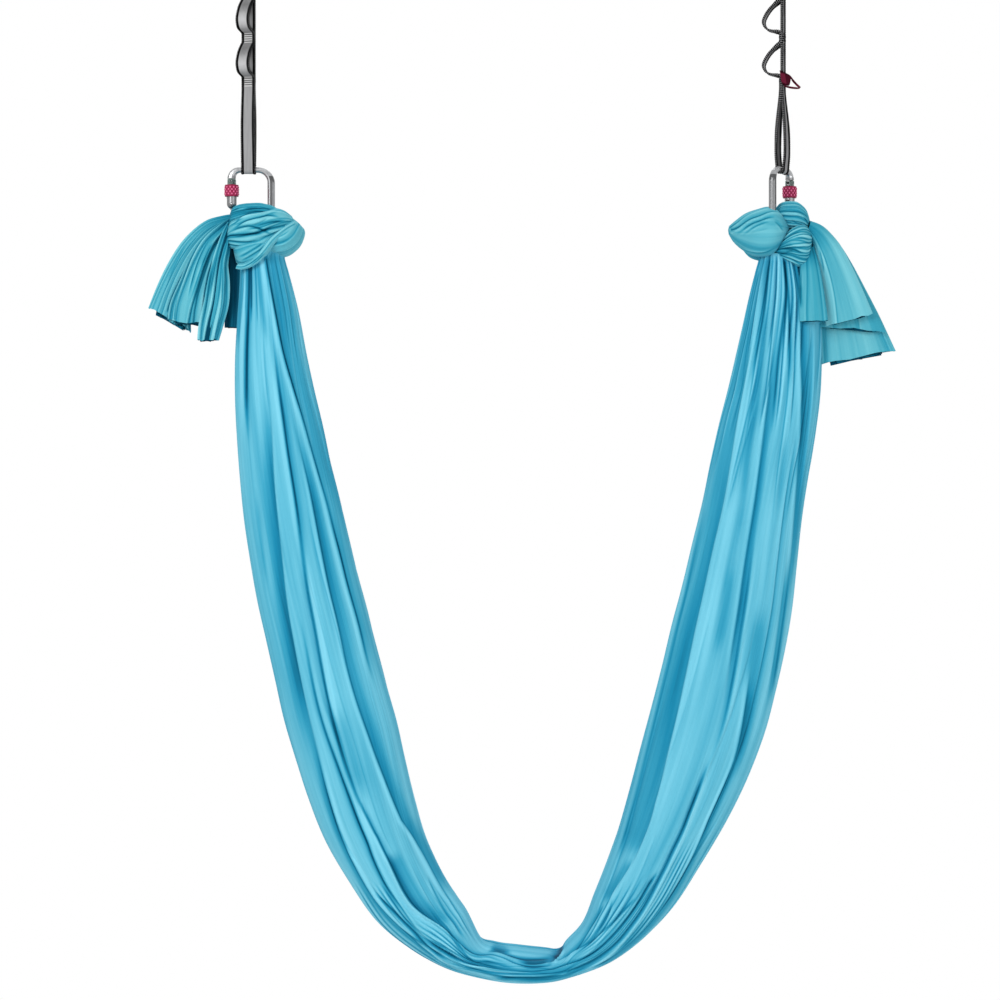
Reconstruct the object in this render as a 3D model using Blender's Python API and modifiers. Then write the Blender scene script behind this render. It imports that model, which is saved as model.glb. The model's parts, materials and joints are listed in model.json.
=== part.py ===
"""Aerial hammock: two daisy-chain straps, two screw-gate carabiners and one knotted length of cloth.

The origin is the middle of the line through the crowns of the two anchor eyes, which whatever
holds the hammock up goes through. +X runs from the left strap to the right one, -Y faces the
viewer and +Z is up, so nearly all of the object lies below the origin. Lengths are in metres.
"""

import bpy
import bmesh
from math import acos, cos, hypot, pi, radians, sin, sqrt, tau
from mathutils import Matrix, Vector

MM = 0.001

# Clearances
SEAT_GAP = 0.3 * MM  # between pieces that touch
CUT_OVERRUN = 4.0 * MM  # how far a cutter passes the faces that it cuts

# Straps
ANCHOR_SPACING = 734 * MM
WEBBING_WIDTH = 20 * MM
WEBBING_THICKNESS = 1.6 * MM
WEBBING_EDGE = 1.6 * MM  # depth of the rounded selvedge
EYE_RADIUS = 9 * MM  # inside the anchor eye's crown
EYE_LENGTH = 61.5 * MM  # crown to the first tack
TACK_PITCH = 60 * MM
TACK_HEIGHT = 13 * MM
TACK_THREAD_RADIUS = 0.7 * MM
TACK_ROW_PITCH = 3.0 * MM
TACK_MARGIN = 2.0 * MM  # bare webbing beside a tack
TACK_ROWS = 4
TACKS = 3
POCKET_REACH = 25 * MM  # how far a pocket stands off the back layer
LOOP_DROP = 121.5 * MM  # lowest tack's centre to the carabiner's top bar
LOOP_BULGE = 1.8 * MM  # how much wider than the bar's seat the loop's legs stand
LOOP_BULGE_HEIGHT = 26 * MM
TWIST_LEFT = radians(-14)
TWIST_RIGHT = radians(15)
TURN_LEFT = radians(0)
TURN_RIGHT = radians(239)

# Red tab on the right strap
TAB_WIDTH = 12 * MM
TAB_THICKNESS = 0.8 * MM
TAB_REACH = 25 * MM
TAB_RISE = 12 * MM  # top of the tab above the lowest tack's centre
TAB_LEG_SPACING = 20 * MM
TAB_TIP_RADIUS = 1.5 * MM

# Carabiner body, in its own plane: the top bar's centre is the origin, the gate is at -X
BAR_RADIUS = 3.8 * MM
SPINE_RADIUS = 5.2 * MM
BASKET_RADIUS = 4.8 * MM
LEG_RADIUS = 5.0 * MM
NOSE_RADIUS = 6.0 * MM
CARABINER_HEIGHT = 100 * MM
GATE_OFFSET = 23.2 * MM  # strap centre to gate axis
SPINE_OFFSET = 31.1 * MM
NOSE_CORNER_RADIUS = 11 * MM
NOSE_STRAIGHT = 0.6 * MM  # straight end of the nose below its corner
SPINE_CORNER_RADIUS = 18 * MM
SPINE_DROP = 58 * MM  # where the spine starts to curve in
BASKET_OFFSET = 7 * MM  # sideways place of the lowest point
LEG_ANGLE = radians(26)
GROOVE_RADIUS = 2.4 * MM
GROOVE_DEPTH = 1.3 * MM
GROOVE_DROP = 50 * MM

# Hinge
PIVOT_DROP = 47 * MM
TONGUE_THICKNESS = 4.4 * MM
TONGUE_RADIUS = 5.6 * MM
RIVET_RADIUS = 1.6 * MM
RIVET_LENGTH = 12.4 * MM
RIVET_DOME = 0.5 * MM

# Gate, measured up from the pivot
GATE_RADIUS = 6.9 * MM
GATE_THREAD_RADIUS = 6.2 * MM
GATE_SHOULDER = 10.2 * MM
GATE_CHAMFER = 0.6 * MM
GATE_BORE_RADIUS = 2.6 * MM
GATE_BORE_TOP = 20 * MM
HINGE_SLOT_TOP = 7.5 * MM
LATCH_PIN_RADIUS = 0.9 * MM
LATCH_PIN_LENGTH = 11.2 * MM
BLADE_THICKNESS = 4.0 * MM
BLADE_WIDTH = 10 * MM
BLADE_LIP = 1.6 * MM  # what is left of the blade below its notch
BLADE_TIP_CLEARANCE = 1.6 * MM  # blade tip to slot floor
NOTCH_RELIEF = 0.6 * MM  # room for the pin's arc
SWING_CLEARANCE = 0.3 * MM  # corners of the gate and sleeve to the nose as they swing past
PLUNGER_RADIUS = 2.3 * MM
PLUNGER_TOP = 11 * MM
SPRING_WIRE_RADIUS = 0.35 * MM
SPRING_RADIUS = 1.9 * MM
SPRING_TURNS = 6
SPRING_POINTS = 8  # in each turn

# Locking sleeve
SLEEVE_HEIGHT = 15.9 * MM
SLEEVE_RADIUS = 10.2 * MM
SLEEVE_END_RADIUS = 8.4 * MM
SLEEVE_END_HEIGHT = 1.8 * MM
KNURL_FLUTES = 14
KNURL_RADIUS = 0.9 * MM
KNURL_ROWS = 3
KNURL_ROW_DEPTH = 0.7 * MM
KNURL_ROW_WIDTH = 0.9 * MM
RING_HEIGHT = 1.4 * MM
RING_RISE = 3.0 * MM  # ring's middle above the sleeve's foot
RING_WALL = 1.1 * MM

# Knots
KNOT_PLACE_SHARE = 0.963  # how far down its carabiner a knot's middle is
KNOT_UNDERSIDE = 40.7 * MM  # a knot's middle to its flat underside
KNOT_CLEARANCE = 0.5 * MM  # cloth to the carabiner inside it
KNOT_HALF_WIDTH = 45 * MM
KNOT_HALF_DEPTH = 42 * MM
KNOT_HALF_HEIGHT = 37 * MM
LOBE_TURN = radians(20)
KNOT_RINGS = 16
KNOT_SIDES = 28
FOLD_PITCH = 11 * MM
FOLD_HEIGHT = 2.4 * MM
LEFT_KNOT_OFFSET = 21 * MM  # from its strap
RIGHT_KNOT_OFFSET = -16 * MM

# Tails
LEFT_TAIL_SPREAD = 107 * MM
LEFT_TAIL_DROP = 130 * MM
LEFT_TAIL_ROOT = -30 * MM  # from its strap
LEFT_TAIL_RISE = 32 * MM  # top of the root above the knots' middles
LEFT_TAIL_BOW = 26 * MM
LEFT_TAIL_FOLDS = 6
RIGHT_TAIL_SPREAD = 115 * MM
RIGHT_TAIL_DROP = 177 * MM
RIGHT_TAIL_ROOT = 36 * MM
RIGHT_TAIL_RISE = 21 * MM
RIGHT_TAIL_BOW = 4 * MM
RIGHT_TAIL_FOLDS = 3
TAIL_THICKNESS = 9 * MM
TAIL_FOLD_DEPTH = 16 * MM
TAIL_RINGS = 12
FOLD_POINTS = 4  # in each fold

# Sling
SLING_SHIFT = 13 * MM  # its middle, to the right of the straps' middle
SLING_INSET = 23 * MM  # each of its ends, inwards from that strap
SLING_DROP = 959 * MM
SLING_HALF_WIDTH = 74 * MM
SLING_HALF_DEPTH = 90 * MM
SLING_FOLDS = 10
SLING_FOLD_SHARE = 0.13

# Places along the sling, left knot to right knot, as shares of its half span, drop, half width
# and half depth
SLING_SHARES = [
    (-1.024, 0.000, 0.31, 0.28), (-1.018, 0.033, 0.41, 0.32), (-1.016, 0.076, 0.52, 0.36),
    (-1.012, 0.133, 0.68, 0.40), (-0.986, 0.219, 0.80, 0.44), (-0.906, 0.391, 0.93, 0.47),
    (-0.802, 0.563, 0.98, 0.50), (-0.678, 0.735, 0.94, 0.55), (-0.594, 0.821, 0.89, 0.62),
    (-0.508, 0.879, 0.82, 0.70), (-0.404, 0.927, 0.74, 0.78), (-0.312, 0.966, 0.60, 0.88),
    (-0.216, 0.986, 0.39, 0.95), (-0.112, 0.996, 0.31, 1.00), (0.000, 1.000, 0.30, 1.00),
    (0.124, 0.996, 0.31, 1.00), (0.224, 0.984, 0.38, 0.95), (0.312, 0.960, 0.50, 0.88),
    (0.388, 0.929, 0.65, 0.78), (0.484, 0.871, 0.82, 0.70), (0.558, 0.821, 0.86, 0.62),
    (0.654, 0.735, 1.01, 0.55), (0.792, 0.563, 1.07, 0.50), (0.882, 0.391, 0.97, 0.47),
    (0.974, 0.219, 0.90, 0.44), (0.998, 0.133, 0.75, 0.40), (0.994, 0.076, 0.60, 0.36),
    (0.988, 0.033, 0.52, 0.32), (0.984, 0.000, 0.48, 0.28),
]

# Edges of the tails from root to hem, as shares of their spread and drop: (upper x, upper z,
# lower x, lower z)
LEFT_TAIL_SHARES = [
    (0.00, 0.00, 0.00, 0.33), (0.16, 0.03, 0.00, 0.45), (0.42, 0.18, -0.05, 0.58),
    (0.64, 0.42, -0.10, 0.78), (0.83, 0.74, -0.12, 1.00), (1.00, 1.00, -0.13, 1.21),
]
RIGHT_TAIL_SHARES = [
    (0.00, 0.00, 0.00, 0.22), (0.26, 0.05, 0.02, 0.41), (0.46, 0.22, 0.06, 0.61),
    (0.65, 0.53, 0.10, 0.80), (0.82, 0.76, 0.13, 0.96), (1.00, 1.00, 0.14, 1.09),
]

# One pocket's outline below its upper tack, as shares of its reach and of the bare webbing
POCKET_SHARES = [
    (0.00, 0.00), (0.20, 0.08), (0.60, 0.27), (0.88, 0.48), (1.00, 0.68), (0.80, 0.87),
    (0.40, 0.94), (0.06, 0.97), (0.00, 1.00),
]

# Knot lobes as shares of the knots' half width, half depth and half height: (centre X, Y, Z,
# half size in X, Y, Z, turn about Y as a share of the lobes' largest turn)
LEFT_LOBE_SHARES = [
    (-0.07, -0.43, -0.14, 0.98, 0.86, 1.00, 0.2),
    (0.47, 0.14, 0.00, 0.78, 0.81, 0.68, 0.4),
    (-0.20, 0.00, 0.51, 0.71, 0.95, 0.68, -0.2),
    (-0.76, 0.05, 0.16, 0.53, 0.57, 0.81, 0.0),
    (0.18, 0.10, -0.65, 0.58, 0.71, 0.70, 0.0),
    (-0.13, 0.48, 0.05, 0.76, 0.76, 0.92, 0.0),
]
RIGHT_LOBE_SHARES = [
    (-0.36, -0.33, 0.08, 1.00, 0.90, 0.76, 1.0),
    (0.62, -0.19, -0.14, 0.62, 1.00, 0.97, 0.6),
    (0.49, 0.05, 0.46, 0.56, 0.90, 0.62, 0.0),
    (0.84, 0.05, 0.00, 0.58, 0.62, 0.86, 0.0),
    (0.09, 0.10, -0.59, 0.76, 0.76, 0.76, 0.0),
    (0.13, 0.52, 0.11, 0.76, 0.71, 0.92, 0.0),
]

# Colours as (red, green, blue), roughness and metallic value
FINISHES = {
    "webbing": ((0.33, 0.33, 0.34), 0.85, 0.0),
    "thread": ((0.02, 0.02, 0.02), 0.7, 0.0),
    "tab": ((0.16, 0.01, 0.03), 0.8, 0.0),
    "steel": ((0.55, 0.56, 0.58), 0.22, 1.0),
    "sleeve": ((0.72, 0.03, 0.14), 0.35, 0.6),
    "nylon": ((0.75, 0.75, 0.72), 0.5, 0.0),
    "cloth": ((0.07, 0.42, 0.55), 0.6, 0.0),
}


# Scene helpers

def clear_scene():
    for thing in list(bpy.data.objects):
        bpy.data.objects.remove(thing, do_unlink=True)


def new_collection(name):
    group = bpy.data.collections.new(name)
    bpy.context.scene.collection.children.link(group)
    return group


def make_material(name, colour, roughness, metallic):
    made = bpy.data.materials.new(name)
    made.use_nodes = True
    shader = made.node_tree.nodes["Principled BSDF"]
    shader.inputs["Base Color"].default_value = (*colour, 1)
    shader.inputs["Roughness"].default_value = roughness
    shader.inputs["Metallic"].default_value = metallic
    return made


def add_object(name, data, finish=None, parent=None, place=(0, 0, 0), turn=(0, 0, 0)):
    """Link an object to the hammock's collection, or to the cutters' if it has no finish."""
    made = bpy.data.objects.new(name, data)
    made.location = place
    made.rotation_euler = turn
    made.parent = parent
    if finish:
        PARTS.objects.link(made)
        if not data.materials:
            data.materials.append(make_material(name, *FINISHES[finish]))
        else:
            made.material_slots[0].link = "OBJECT"
            made.material_slots[0].material = make_material(name, *FINISHES[finish])
    else:
        CUTTERS.objects.link(made)
        made.hide_render = True
        if data is not None:
            made.display_type = "WIRE"
    return made


def add_empty(name, parent=None, place=(0, 0, 0), turn=(0, 0, 0)):
    made = bpy.data.objects.new(name, None)
    made.location = place
    made.rotation_euler = turn
    made.parent = parent
    PARTS.objects.link(made)
    return made


def mesh_from(bm, name, smooth_angle=None):
    made = bpy.data.meshes.new(name)
    bm.to_mesh(made)
    bm.free()
    if smooth_angle:
        made.shade_smooth()
        made.set_sharp_from_angle(angle=smooth_angle)
    return made


def finished_mesh(thing, name):
    """The evaluated mesh of an object, welded, after which the object goes."""
    bpy.context.view_layer.update()
    graph = bpy.context.evaluated_depsgraph_get()
    made = bpy.data.meshes.new_from_object(thing.evaluated_get(graph))
    bm = bmesh.new()
    bm.from_mesh(made)
    bmesh.ops.remove_doubles(bm, verts=bm.verts, dist=WELD)
    bm.to_mesh(made)
    bm.free()
    made.name = name
    made.materials.clear()
    made.shade_smooth()
    made.set_sharp_from_angle(angle=SHARP_ANGLE)
    bpy.data.objects.remove(thing, do_unlink=True)
    return made


def boolean(thing, cutter, operation="DIFFERENCE"):
    modifier = thing.modifiers.new(operation.title(), "BOOLEAN")
    modifier.operation = operation
    modifier.object = cutter


# Shapes

def arc(centre, radius, start, end, steps):
    """Points on an arc in a plane, with both ends."""
    angles = [start + (end - start) * i / steps for i in range(steps + 1)]
    return [(centre[0] + radius * cos(a), centre[1] + radius * sin(a)) for a in angles]


def bezier(p0, h0, h1, p1, steps):
    """Points on a cubic curve in a plane, with both ends."""
    points = []
    for i in range(steps + 1):
        t = i / steps
        weights = ((1 - t) ** 3, 3 * t * (1 - t) ** 2, 3 * t * t * (1 - t), t ** 3)
        points.append(tuple(sum(w * p[k] for w, p in zip(weights, (p0, h0, h1, p1))) for k in (0, 1)))
    return points


def smooth_step(t):
    t = min(max(t, 0), 1)
    return t * t * (3 - 2 * t)


def tube(name, points, radius, resolution, shares=None):
    """A round bar along points, whose radius may follow a list of shares."""
    data = bpy.data.curves.new(name, "CURVE")
    data.dimensions = "3D"
    data.bevel_depth = radius
    data.bevel_resolution = resolution
    data.use_fill_caps = True
    spline = data.splines.new("POLY")
    spline.points.add(len(points) - 1)
    for i, (point, place) in enumerate(zip(spline.points, points)):
        point.co = (*place, 1)
        point.radius = shares[i] if shares else 1
    return data


def turned(name, profile, steps, closed=False):
    """A turned shape round Z from (radius, height) pairs that run down its outer side."""
    bm = bmesh.new()
    verts = [bm.verts.new((r, 0, z)) for r, z in profile]
    for a, b in zip(verts, verts[1:]):
        bm.edges.new((a, b))
    if closed:
        bm.edges.new((verts[-1], verts[0]))
    thing = add_object(name, mesh_from(bm, name))
    screw = thing.modifiers.new("Screw", "SCREW")
    screw.steps = steps
    screw.render_steps = steps
    screw.use_merge_vertices = True
    screw.merge_threshold = WELD
    return thing


def box(name, low, high, parent=None):
    bm = bmesh.new()
    bmesh.ops.create_cube(bm, size=1)
    size = Vector(high) - Vector(low)
    middle = (Vector(high) + Vector(low)) / 2
    place = Matrix.Translation(middle) @ Matrix.Diagonal((*size, 1))
    bmesh.ops.transform(bm, matrix=place, verts=bm.verts)
    return add_object(name, mesh_from(bm, name), parent=parent)


def cross_pin(name, radius, low, high, place=(0, 0), segments=24, parent=None):
    """A cylinder along Y from low to high, at place in X and Z."""
    bm = bmesh.new()
    bmesh.ops.create_cone(
        bm, cap_ends=True, segments=segments, radius1=radius, radius2=radius, depth=high - low
    )
    shift = Matrix.Translation((place[0], (low + high) / 2, place[1]))
    bmesh.ops.transform(bm, matrix=shift @ Matrix.Rotation(pi / 2, 4, "X"), verts=bm.verts)
    return add_object(name, mesh_from(bm, name), parent=parent)


def loft(name, rings, smooth_angle):
    """A closed solid through rings of as many points each, with flat ends."""
    bm = bmesh.new()
    made = [[bm.verts.new(p) for p in ring] for ring in rings]
    for lower, upper in zip(made, made[1:]):
        for i in range(len(lower)):
            j = (i + 1) % len(lower)
            bm.faces.new((lower[i], lower[j], upper[j], upper[i]))
    bm.faces.new(made[0])
    bm.faces.new(made[-1])
    bmesh.ops.recalc_face_normals(bm, faces=bm.faces)
    return mesh_from(bm, name, smooth_angle)


# Webbing

def strap_point(across, out, height, twist):
    """A point of a strap in its turned frame: out is positive towards the pockets."""
    below = (LOWEST_TACK - TACK_HEIGHT / 2 - height) / (LOOP_DROP - TACK_HEIGHT / 2)
    angle = twist * (1 - smooth_step(below))
    return Vector((
        across * cos(angle) + out * sin(angle),
        across * sin(angle) - out * cos(angle),
        height,
    ))


def strip(name, path, twist, width, thickness, edge):
    """A flat strip along a path of (out, height) points, with rounded edges."""
    side = width / 2
    half = thickness / 2
    section = [
        (-side, 0), (-side + edge, half), (side - edge, half),
        (side, 0), (side - edge, -half), (-side + edge, -half),
    ]
    rings = []
    for i, (out, height) in enumerate(path):
        before = path[max(i - 1, 0)]
        after = path[min(i + 1, len(path) - 1)]
        run = Vector((after[0] - before[0], after[1] - before[1])).normalized()
        rings.append([
            strap_point(across, out - run.y * off, height + run.x * off, twist)
            for across, off in section
        ])
    return loft(name, rings, SHARP_ANGLE)


def strap_webbing(name, twist):
    """The anchor eye, the back layer and the pockets, from the lowest tack up and back down."""
    crown = EYE_RADIUS + WEBBING_THICKNESS / 2
    eye_foot = -EYE_LENGTH
    widest = -EYE_RADIUS
    handle = (eye_foot - widest) / 2
    back = [(-LAYER_OUT, LOWEST_TACK)]
    back += [(-LAYER_OUT, z - TACK_HEIGHT / 2) for z in reversed(TACK_HEIGHTS[:-1])]
    back += bezier(
        (-LAYER_OUT, eye_foot), (-LAYER_OUT, eye_foot - handle), (-crown, widest + handle),
        (-crown, widest), 6
    )
    eye = arc((0, widest), crown, pi, 0, 11)[1:-1]
    front = bezier(
        (crown, widest), (crown, widest + handle), (LAYER_OUT, eye_foot - handle),
        (LAYER_OUT, eye_foot), 6
    )
    for upper, lower in zip(TACK_HEIGHTS, TACK_HEIGHTS[1:]):
        top = upper - TACK_HEIGHT / 2
        bare = top - (lower + TACK_HEIGHT / 2)
        front += rounded([
            (LAYER_OUT + out * POCKET_REACH, top - down * bare) for out, down in POCKET_SHARES
        ])
    front.append((LAYER_OUT, LOWEST_TACK))
    return strip(name, back + eye + front, twist, WEBBING_WIDTH, WEBBING_THICKNESS, WEBBING_EDGE)


def rounded(points):
    """A smooth run through points, with one more between each two."""
    made = [points[0]]
    for i in range(len(points) - 1):
        a, b, c, d = (points[min(max(k, 0), len(points) - 1)] for k in range(i - 1, i + 3))
        made.append(tuple((9 * (b[k] + c[k]) - a[k] - d[k]) / 16 for k in (0, 1)))
        made.append(c)
    return made


def carabiner_loop(name, twist):
    """The webbing's folded lower end, round the carabiner's top bar."""
    seat = BAR_RADIUS + SEAT_GAP + WEBBING_THICKNESS / 2
    leg_top = LOWEST_TACK - SEAT_GAP
    bulge_height = BAR_HEIGHT + LOOP_BULGE_HEIGHT
    straight = LOWEST_TACK - TACK_HEIGHT / 2
    handle = (straight - bulge_height) / 2
    leg = [(LAYER_OUT, leg_top)]
    leg += bezier(
        (LAYER_OUT, straight), (LAYER_OUT, straight - handle / 2),
        (seat + LOOP_BULGE, bulge_height + handle), (seat + LOOP_BULGE, bulge_height), 7
    )
    foot = bezier(
        (seat + LOOP_BULGE, bulge_height), (seat + LOOP_BULGE, bulge_height - LOOP_BULGE_HEIGHT / 2),
        (seat, BAR_HEIGHT + LOOP_BULGE_HEIGHT / 4), (seat, BAR_HEIGHT), 4
    )
    front = leg + foot[1:]
    bight = arc((0, BAR_HEIGHT), seat, 0, -pi, 12)[1:-1]
    back = [(-out, height) for out, height in reversed(front)]
    return strip(name, front + bight + back, twist, WEBBING_WIDTH, WEBBING_THICKNESS, WEBBING_EDGE)


def bar_tack(name, height, side, twist):
    """One back-and-forth row of stitches on the front (side 1) or the back (side -1)."""
    reach = WEBBING_WIDTH / 2 - TACK_MARGIN
    out = side * (LAYER_OUT + WEBBING_THICKNESS / 2 + SEAT_GAP + TACK_THREAD_RADIUS)
    points = []
    for row in range(TACK_ROWS):
        level = height + ((TACK_ROWS - 1) / 2 - row) * TACK_ROW_PITCH
        ends = (-reach, reach) if row % 2 else (reach, -reach)
        points += [strap_point(across, out, level, twist) for across in ends]
    return tube(name, points, TACK_THREAD_RADIUS, 1)


def red_tab(name, twist):
    """The folded tab behind the right strap's lowest tack."""
    seat = -(LAYER_OUT + (WEBBING_THICKNESS + TAB_THICKNESS) / 2 + SEAT_GAP)
    top = LOWEST_TACK + TAB_RISE
    foot = top - TAB_LEG_SPACING
    tip = (seat - TAB_REACH, foot)
    path = [(seat, top)]
    path += bezier(
        (seat - TAB_TIP_RADIUS / 2, top - TAB_TIP_RADIUS),
        (seat - TAB_REACH / 4, top - TAB_LEG_SPACING / 4),
        (tip[0] + TAB_REACH / 4, foot + TAB_LEG_SPACING / 3), (tip[0], foot + TAB_TIP_RADIUS), 5
    )
    path += arc((tip[0], foot), TAB_TIP_RADIUS, pi * 5 / 6, pi * 3 / 2, 4)
    path.append((seat - TAB_REACH / 2, foot - TAB_TIP_RADIUS * 2 / 3))
    path.append((seat, foot))
    return strip(name, path, twist, TAB_WIDTH, TAB_THICKNESS, TAB_THICKNESS / 2)


# Carabiner

def body_path():
    """The body's middle line in X and Z from nose to hinge, with the bar's radius at each point."""
    nose_top = (-GATE_OFFSET, NOSE_FOOT)
    nose_middle = (-GATE_OFFSET + NOSE_CORNER_RADIUS, -NOSE_CORNER_RADIUS)
    nose = arc(nose_middle, NOSE_CORNER_RADIUS, pi, pi / 2, 8)
    corner_middle = (SPINE_OFFSET - SPINE_CORNER_RADIUS, -SPINE_CORNER_RADIUS)
    corner = arc(corner_middle, SPINE_CORNER_RADIUS, pi / 2, 0, 8)
    basket = BAR_RADIUS - CARABINER_HEIGHT + BASKET_RADIUS
    side = bezier(
        (SPINE_OFFSET, -SPINE_DROP), (SPINE_OFFSET, (2 * basket - SPINE_DROP) / 3),
        (SPINE_OFFSET * 2 / 3, basket), (BASKET_OFFSET, basket), 7
    )
    leg = (sin(LEG_ANGLE), -cos(LEG_ANGLE))
    run = -basket - PIVOT_DROP
    joins = [(-GATE_OFFSET + leg[0] * run * k, -PIVOT_DROP + leg[1] * run * k) for k in LEG_SHARES]
    foot = bezier((BASKET_OFFSET, basket), (-BASKET_OFFSET, basket), joins[1], joins[0], 7)
    points = [nose_top] + nose + corner + side + foot[1:] + [(-GATE_OFFSET, -PIVOT_DROP)]
    radii = [NOSE_RADIUS]
    radii += [NOSE_RADIUS + (BAR_RADIUS - NOSE_RADIUS) * i / 8 for i in range(9)]
    radii += [BAR_RADIUS + (SPINE_RADIUS - BAR_RADIUS) * i / 8 for i in range(9)]
    radii += [SPINE_RADIUS + (BASKET_RADIUS - SPINE_RADIUS) * i / 7 for i in range(8)]
    radii += [BASKET_RADIUS + (LEG_RADIUS - BASKET_RADIUS) * i / 7 for i in range(1, 8)]
    radii += [LEG_RADIUS]
    return points, radii


def in_plane(points, depth=0):
    return [(x, depth, z) for x, z in points]


def body_tube(name, clearance, resolution):
    points, radii = body_path()
    shares = [(r + clearance) / BAR_RADIUS for r in radii]
    thing = add_object(name, tube(name, in_plane(points), BAR_RADIUS, resolution, shares))
    return add_object(name, finished_mesh(thing, name))


def carabiner_body_mesh():
    body = body_tube("body_bar", 0, 4)
    pin = LATCH_PIN_HEIGHT - PIVOT_DROP
    play = LATCH_PIN_RADIUS + SEAT_GAP
    half_blade = BLADE_WIDTH / 2
    boolean(body, box(
        "nose_blade", (-GATE_OFFSET - half_blade, -BLADE_THICKNESS / 2, BLADE_FOOT - PIVOT_DROP),
        (-GATE_OFFSET + half_blade, BLADE_THICKNESS / 2, NOSE_FOOT + NOSE_RADIUS / 3)
    ), "UNION")
    wide = TONGUE_THICKNESS
    boolean(body, cross_pin("tongue_blank", TONGUE_RADIUS, -wide, wide, PIVOT), "UNION")
    boolean(body, box(
        "latch_notch", (-GATE_OFFSET - play, -BLADE_THICKNESS, pin - play - NOTCH_RELIEF),
        (-GATE_OFFSET + half_blade + CUT_OVERRUN, BLADE_THICKNESS, pin + play)
    ))
    shoulder = GATE_RADIUS + SEAT_GAP
    for side in (-1, 1):
        inner = side * TONGUE_THICKNESS / 2
        outer = side * (LEG_RADIUS + CUT_OVERRUN)
        low, high = sorted((inner, outer))
        boolean(body, cross_pin("cheek_room", shoulder, low, high, PIVOT))
        boolean(body, spine_groove(side))
    hole = RIVET_RADIUS + SEAT_GAP
    boolean(body, cross_pin("rivet_hole", hole, -2 * wide, 2 * wide, PIVOT, 16))
    return finished_mesh(body, "carabiner_body")


def spine_groove(side):
    """A cutter for the groove that gives the spine and its corner an I-shaped section."""
    points = arc(
        (SPINE_OFFSET - SPINE_CORNER_RADIUS, -SPINE_CORNER_RADIUS), SPINE_CORNER_RADIUS, pi / 4, 0, 4
    )
    points.append((SPINE_OFFSET, -GROOVE_DROP))
    depth = side * (SPINE_RADIUS + GROOVE_RADIUS - GROOVE_DEPTH)
    thing = add_object("groove", tube("groove", in_plane(points, depth), GROOVE_RADIUS, 2))
    return add_object("groove", finished_mesh(thing, "groove"))


def gate_mesh():
    """The gate about its pivot, a turned tube with a round foot, slotted at both ends."""
    rim = sqrt(GATE_RADIUS ** 2 - GATE_BORE_RADIUS ** 2)
    profile = [
        (0, GATE_LENGTH), (GATE_THREAD_RADIUS - GATE_CHAMFER, GATE_LENGTH),
        (GATE_THREAD_RADIUS, GATE_LENGTH - GATE_CHAMFER), (GATE_THREAD_RADIUS, GATE_SHOULDER),
        (GATE_RADIUS, GATE_SHOULDER),
    ]
    end = -acos(GATE_BORE_RADIUS / GATE_RADIUS)
    profile += arc((0, 0), GATE_RADIUS, 0, end, 5)[:-1]
    profile += [(GATE_BORE_RADIUS, -rim), (GATE_BORE_RADIUS, GATE_BORE_TOP), (0, GATE_BORE_TOP)]
    gate = turned("gate_tube", profile, 24)
    wide = GATE_RADIUS + CUT_OVERRUN
    tongue = TONGUE_THICKNESS / 2 + SEAT_GAP
    boolean(gate, box("hinge_slot", (-wide, -tongue, -wide), (wide, tongue, HINGE_SLOT_TOP)))
    blade = BLADE_THICKNESS / 2 + SEAT_GAP
    floor = BLADE_FOOT - BLADE_TIP_CLEARANCE
    boolean(gate, box("latch_slot", (-wide, -blade, floor), (wide, blade, GATE_LENGTH + CUT_OVERRUN)))
    boolean(gate, cross_pin("rivet_bore", RIVET_RADIUS + SEAT_GAP, -wide, wide, (0, 0), 16))
    hole = LATCH_PIN_RADIUS + SEAT_GAP
    boolean(gate, cross_pin("pin_bore", hole, -wide, wide, (0, LATCH_PIN_HEIGHT), 12))
    return finished_mesh(gate, "gate")


def pin_mesh(name, radius, length, dome):
    half = length / 2
    profile = [
        (0, half), (radius * 2 / 3, half - dome / 3), (radius, half - dome),
        (radius, dome - half), (radius * 2 / 3, dome / 3 - half), (0, -half),
    ]
    return finished_mesh(turned(name, profile, 14), name)


def plunger_mesh():
    tip = TONGUE_RADIUS + SEAT_GAP
    profile = [
        (0, PLUNGER_TOP), (PLUNGER_RADIUS, PLUNGER_TOP), (PLUNGER_RADIUS, tip + PLUNGER_RADIUS / 2),
        (PLUNGER_RADIUS / 2, tip), (0, tip),
    ]
    return finished_mesh(turned("plunger", profile, 14), "gate_plunger")


def spring_curve():
    low = PLUNGER_TOP + SEAT_GAP + SPRING_WIRE_RADIUS
    high = GATE_BORE_TOP - SEAT_GAP - SPRING_WIRE_RADIUS
    count = SPRING_TURNS * SPRING_POINTS
    points = []
    for i in range(count + 1):
        angle = tau * i / SPRING_POINTS
        rise = low + (high - low) * i / count
        points.append((SPRING_RADIUS * cos(angle), SPRING_RADIUS * sin(angle), rise))
    return tube("gate_spring", points, SPRING_WIRE_RADIUS, 1)


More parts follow.
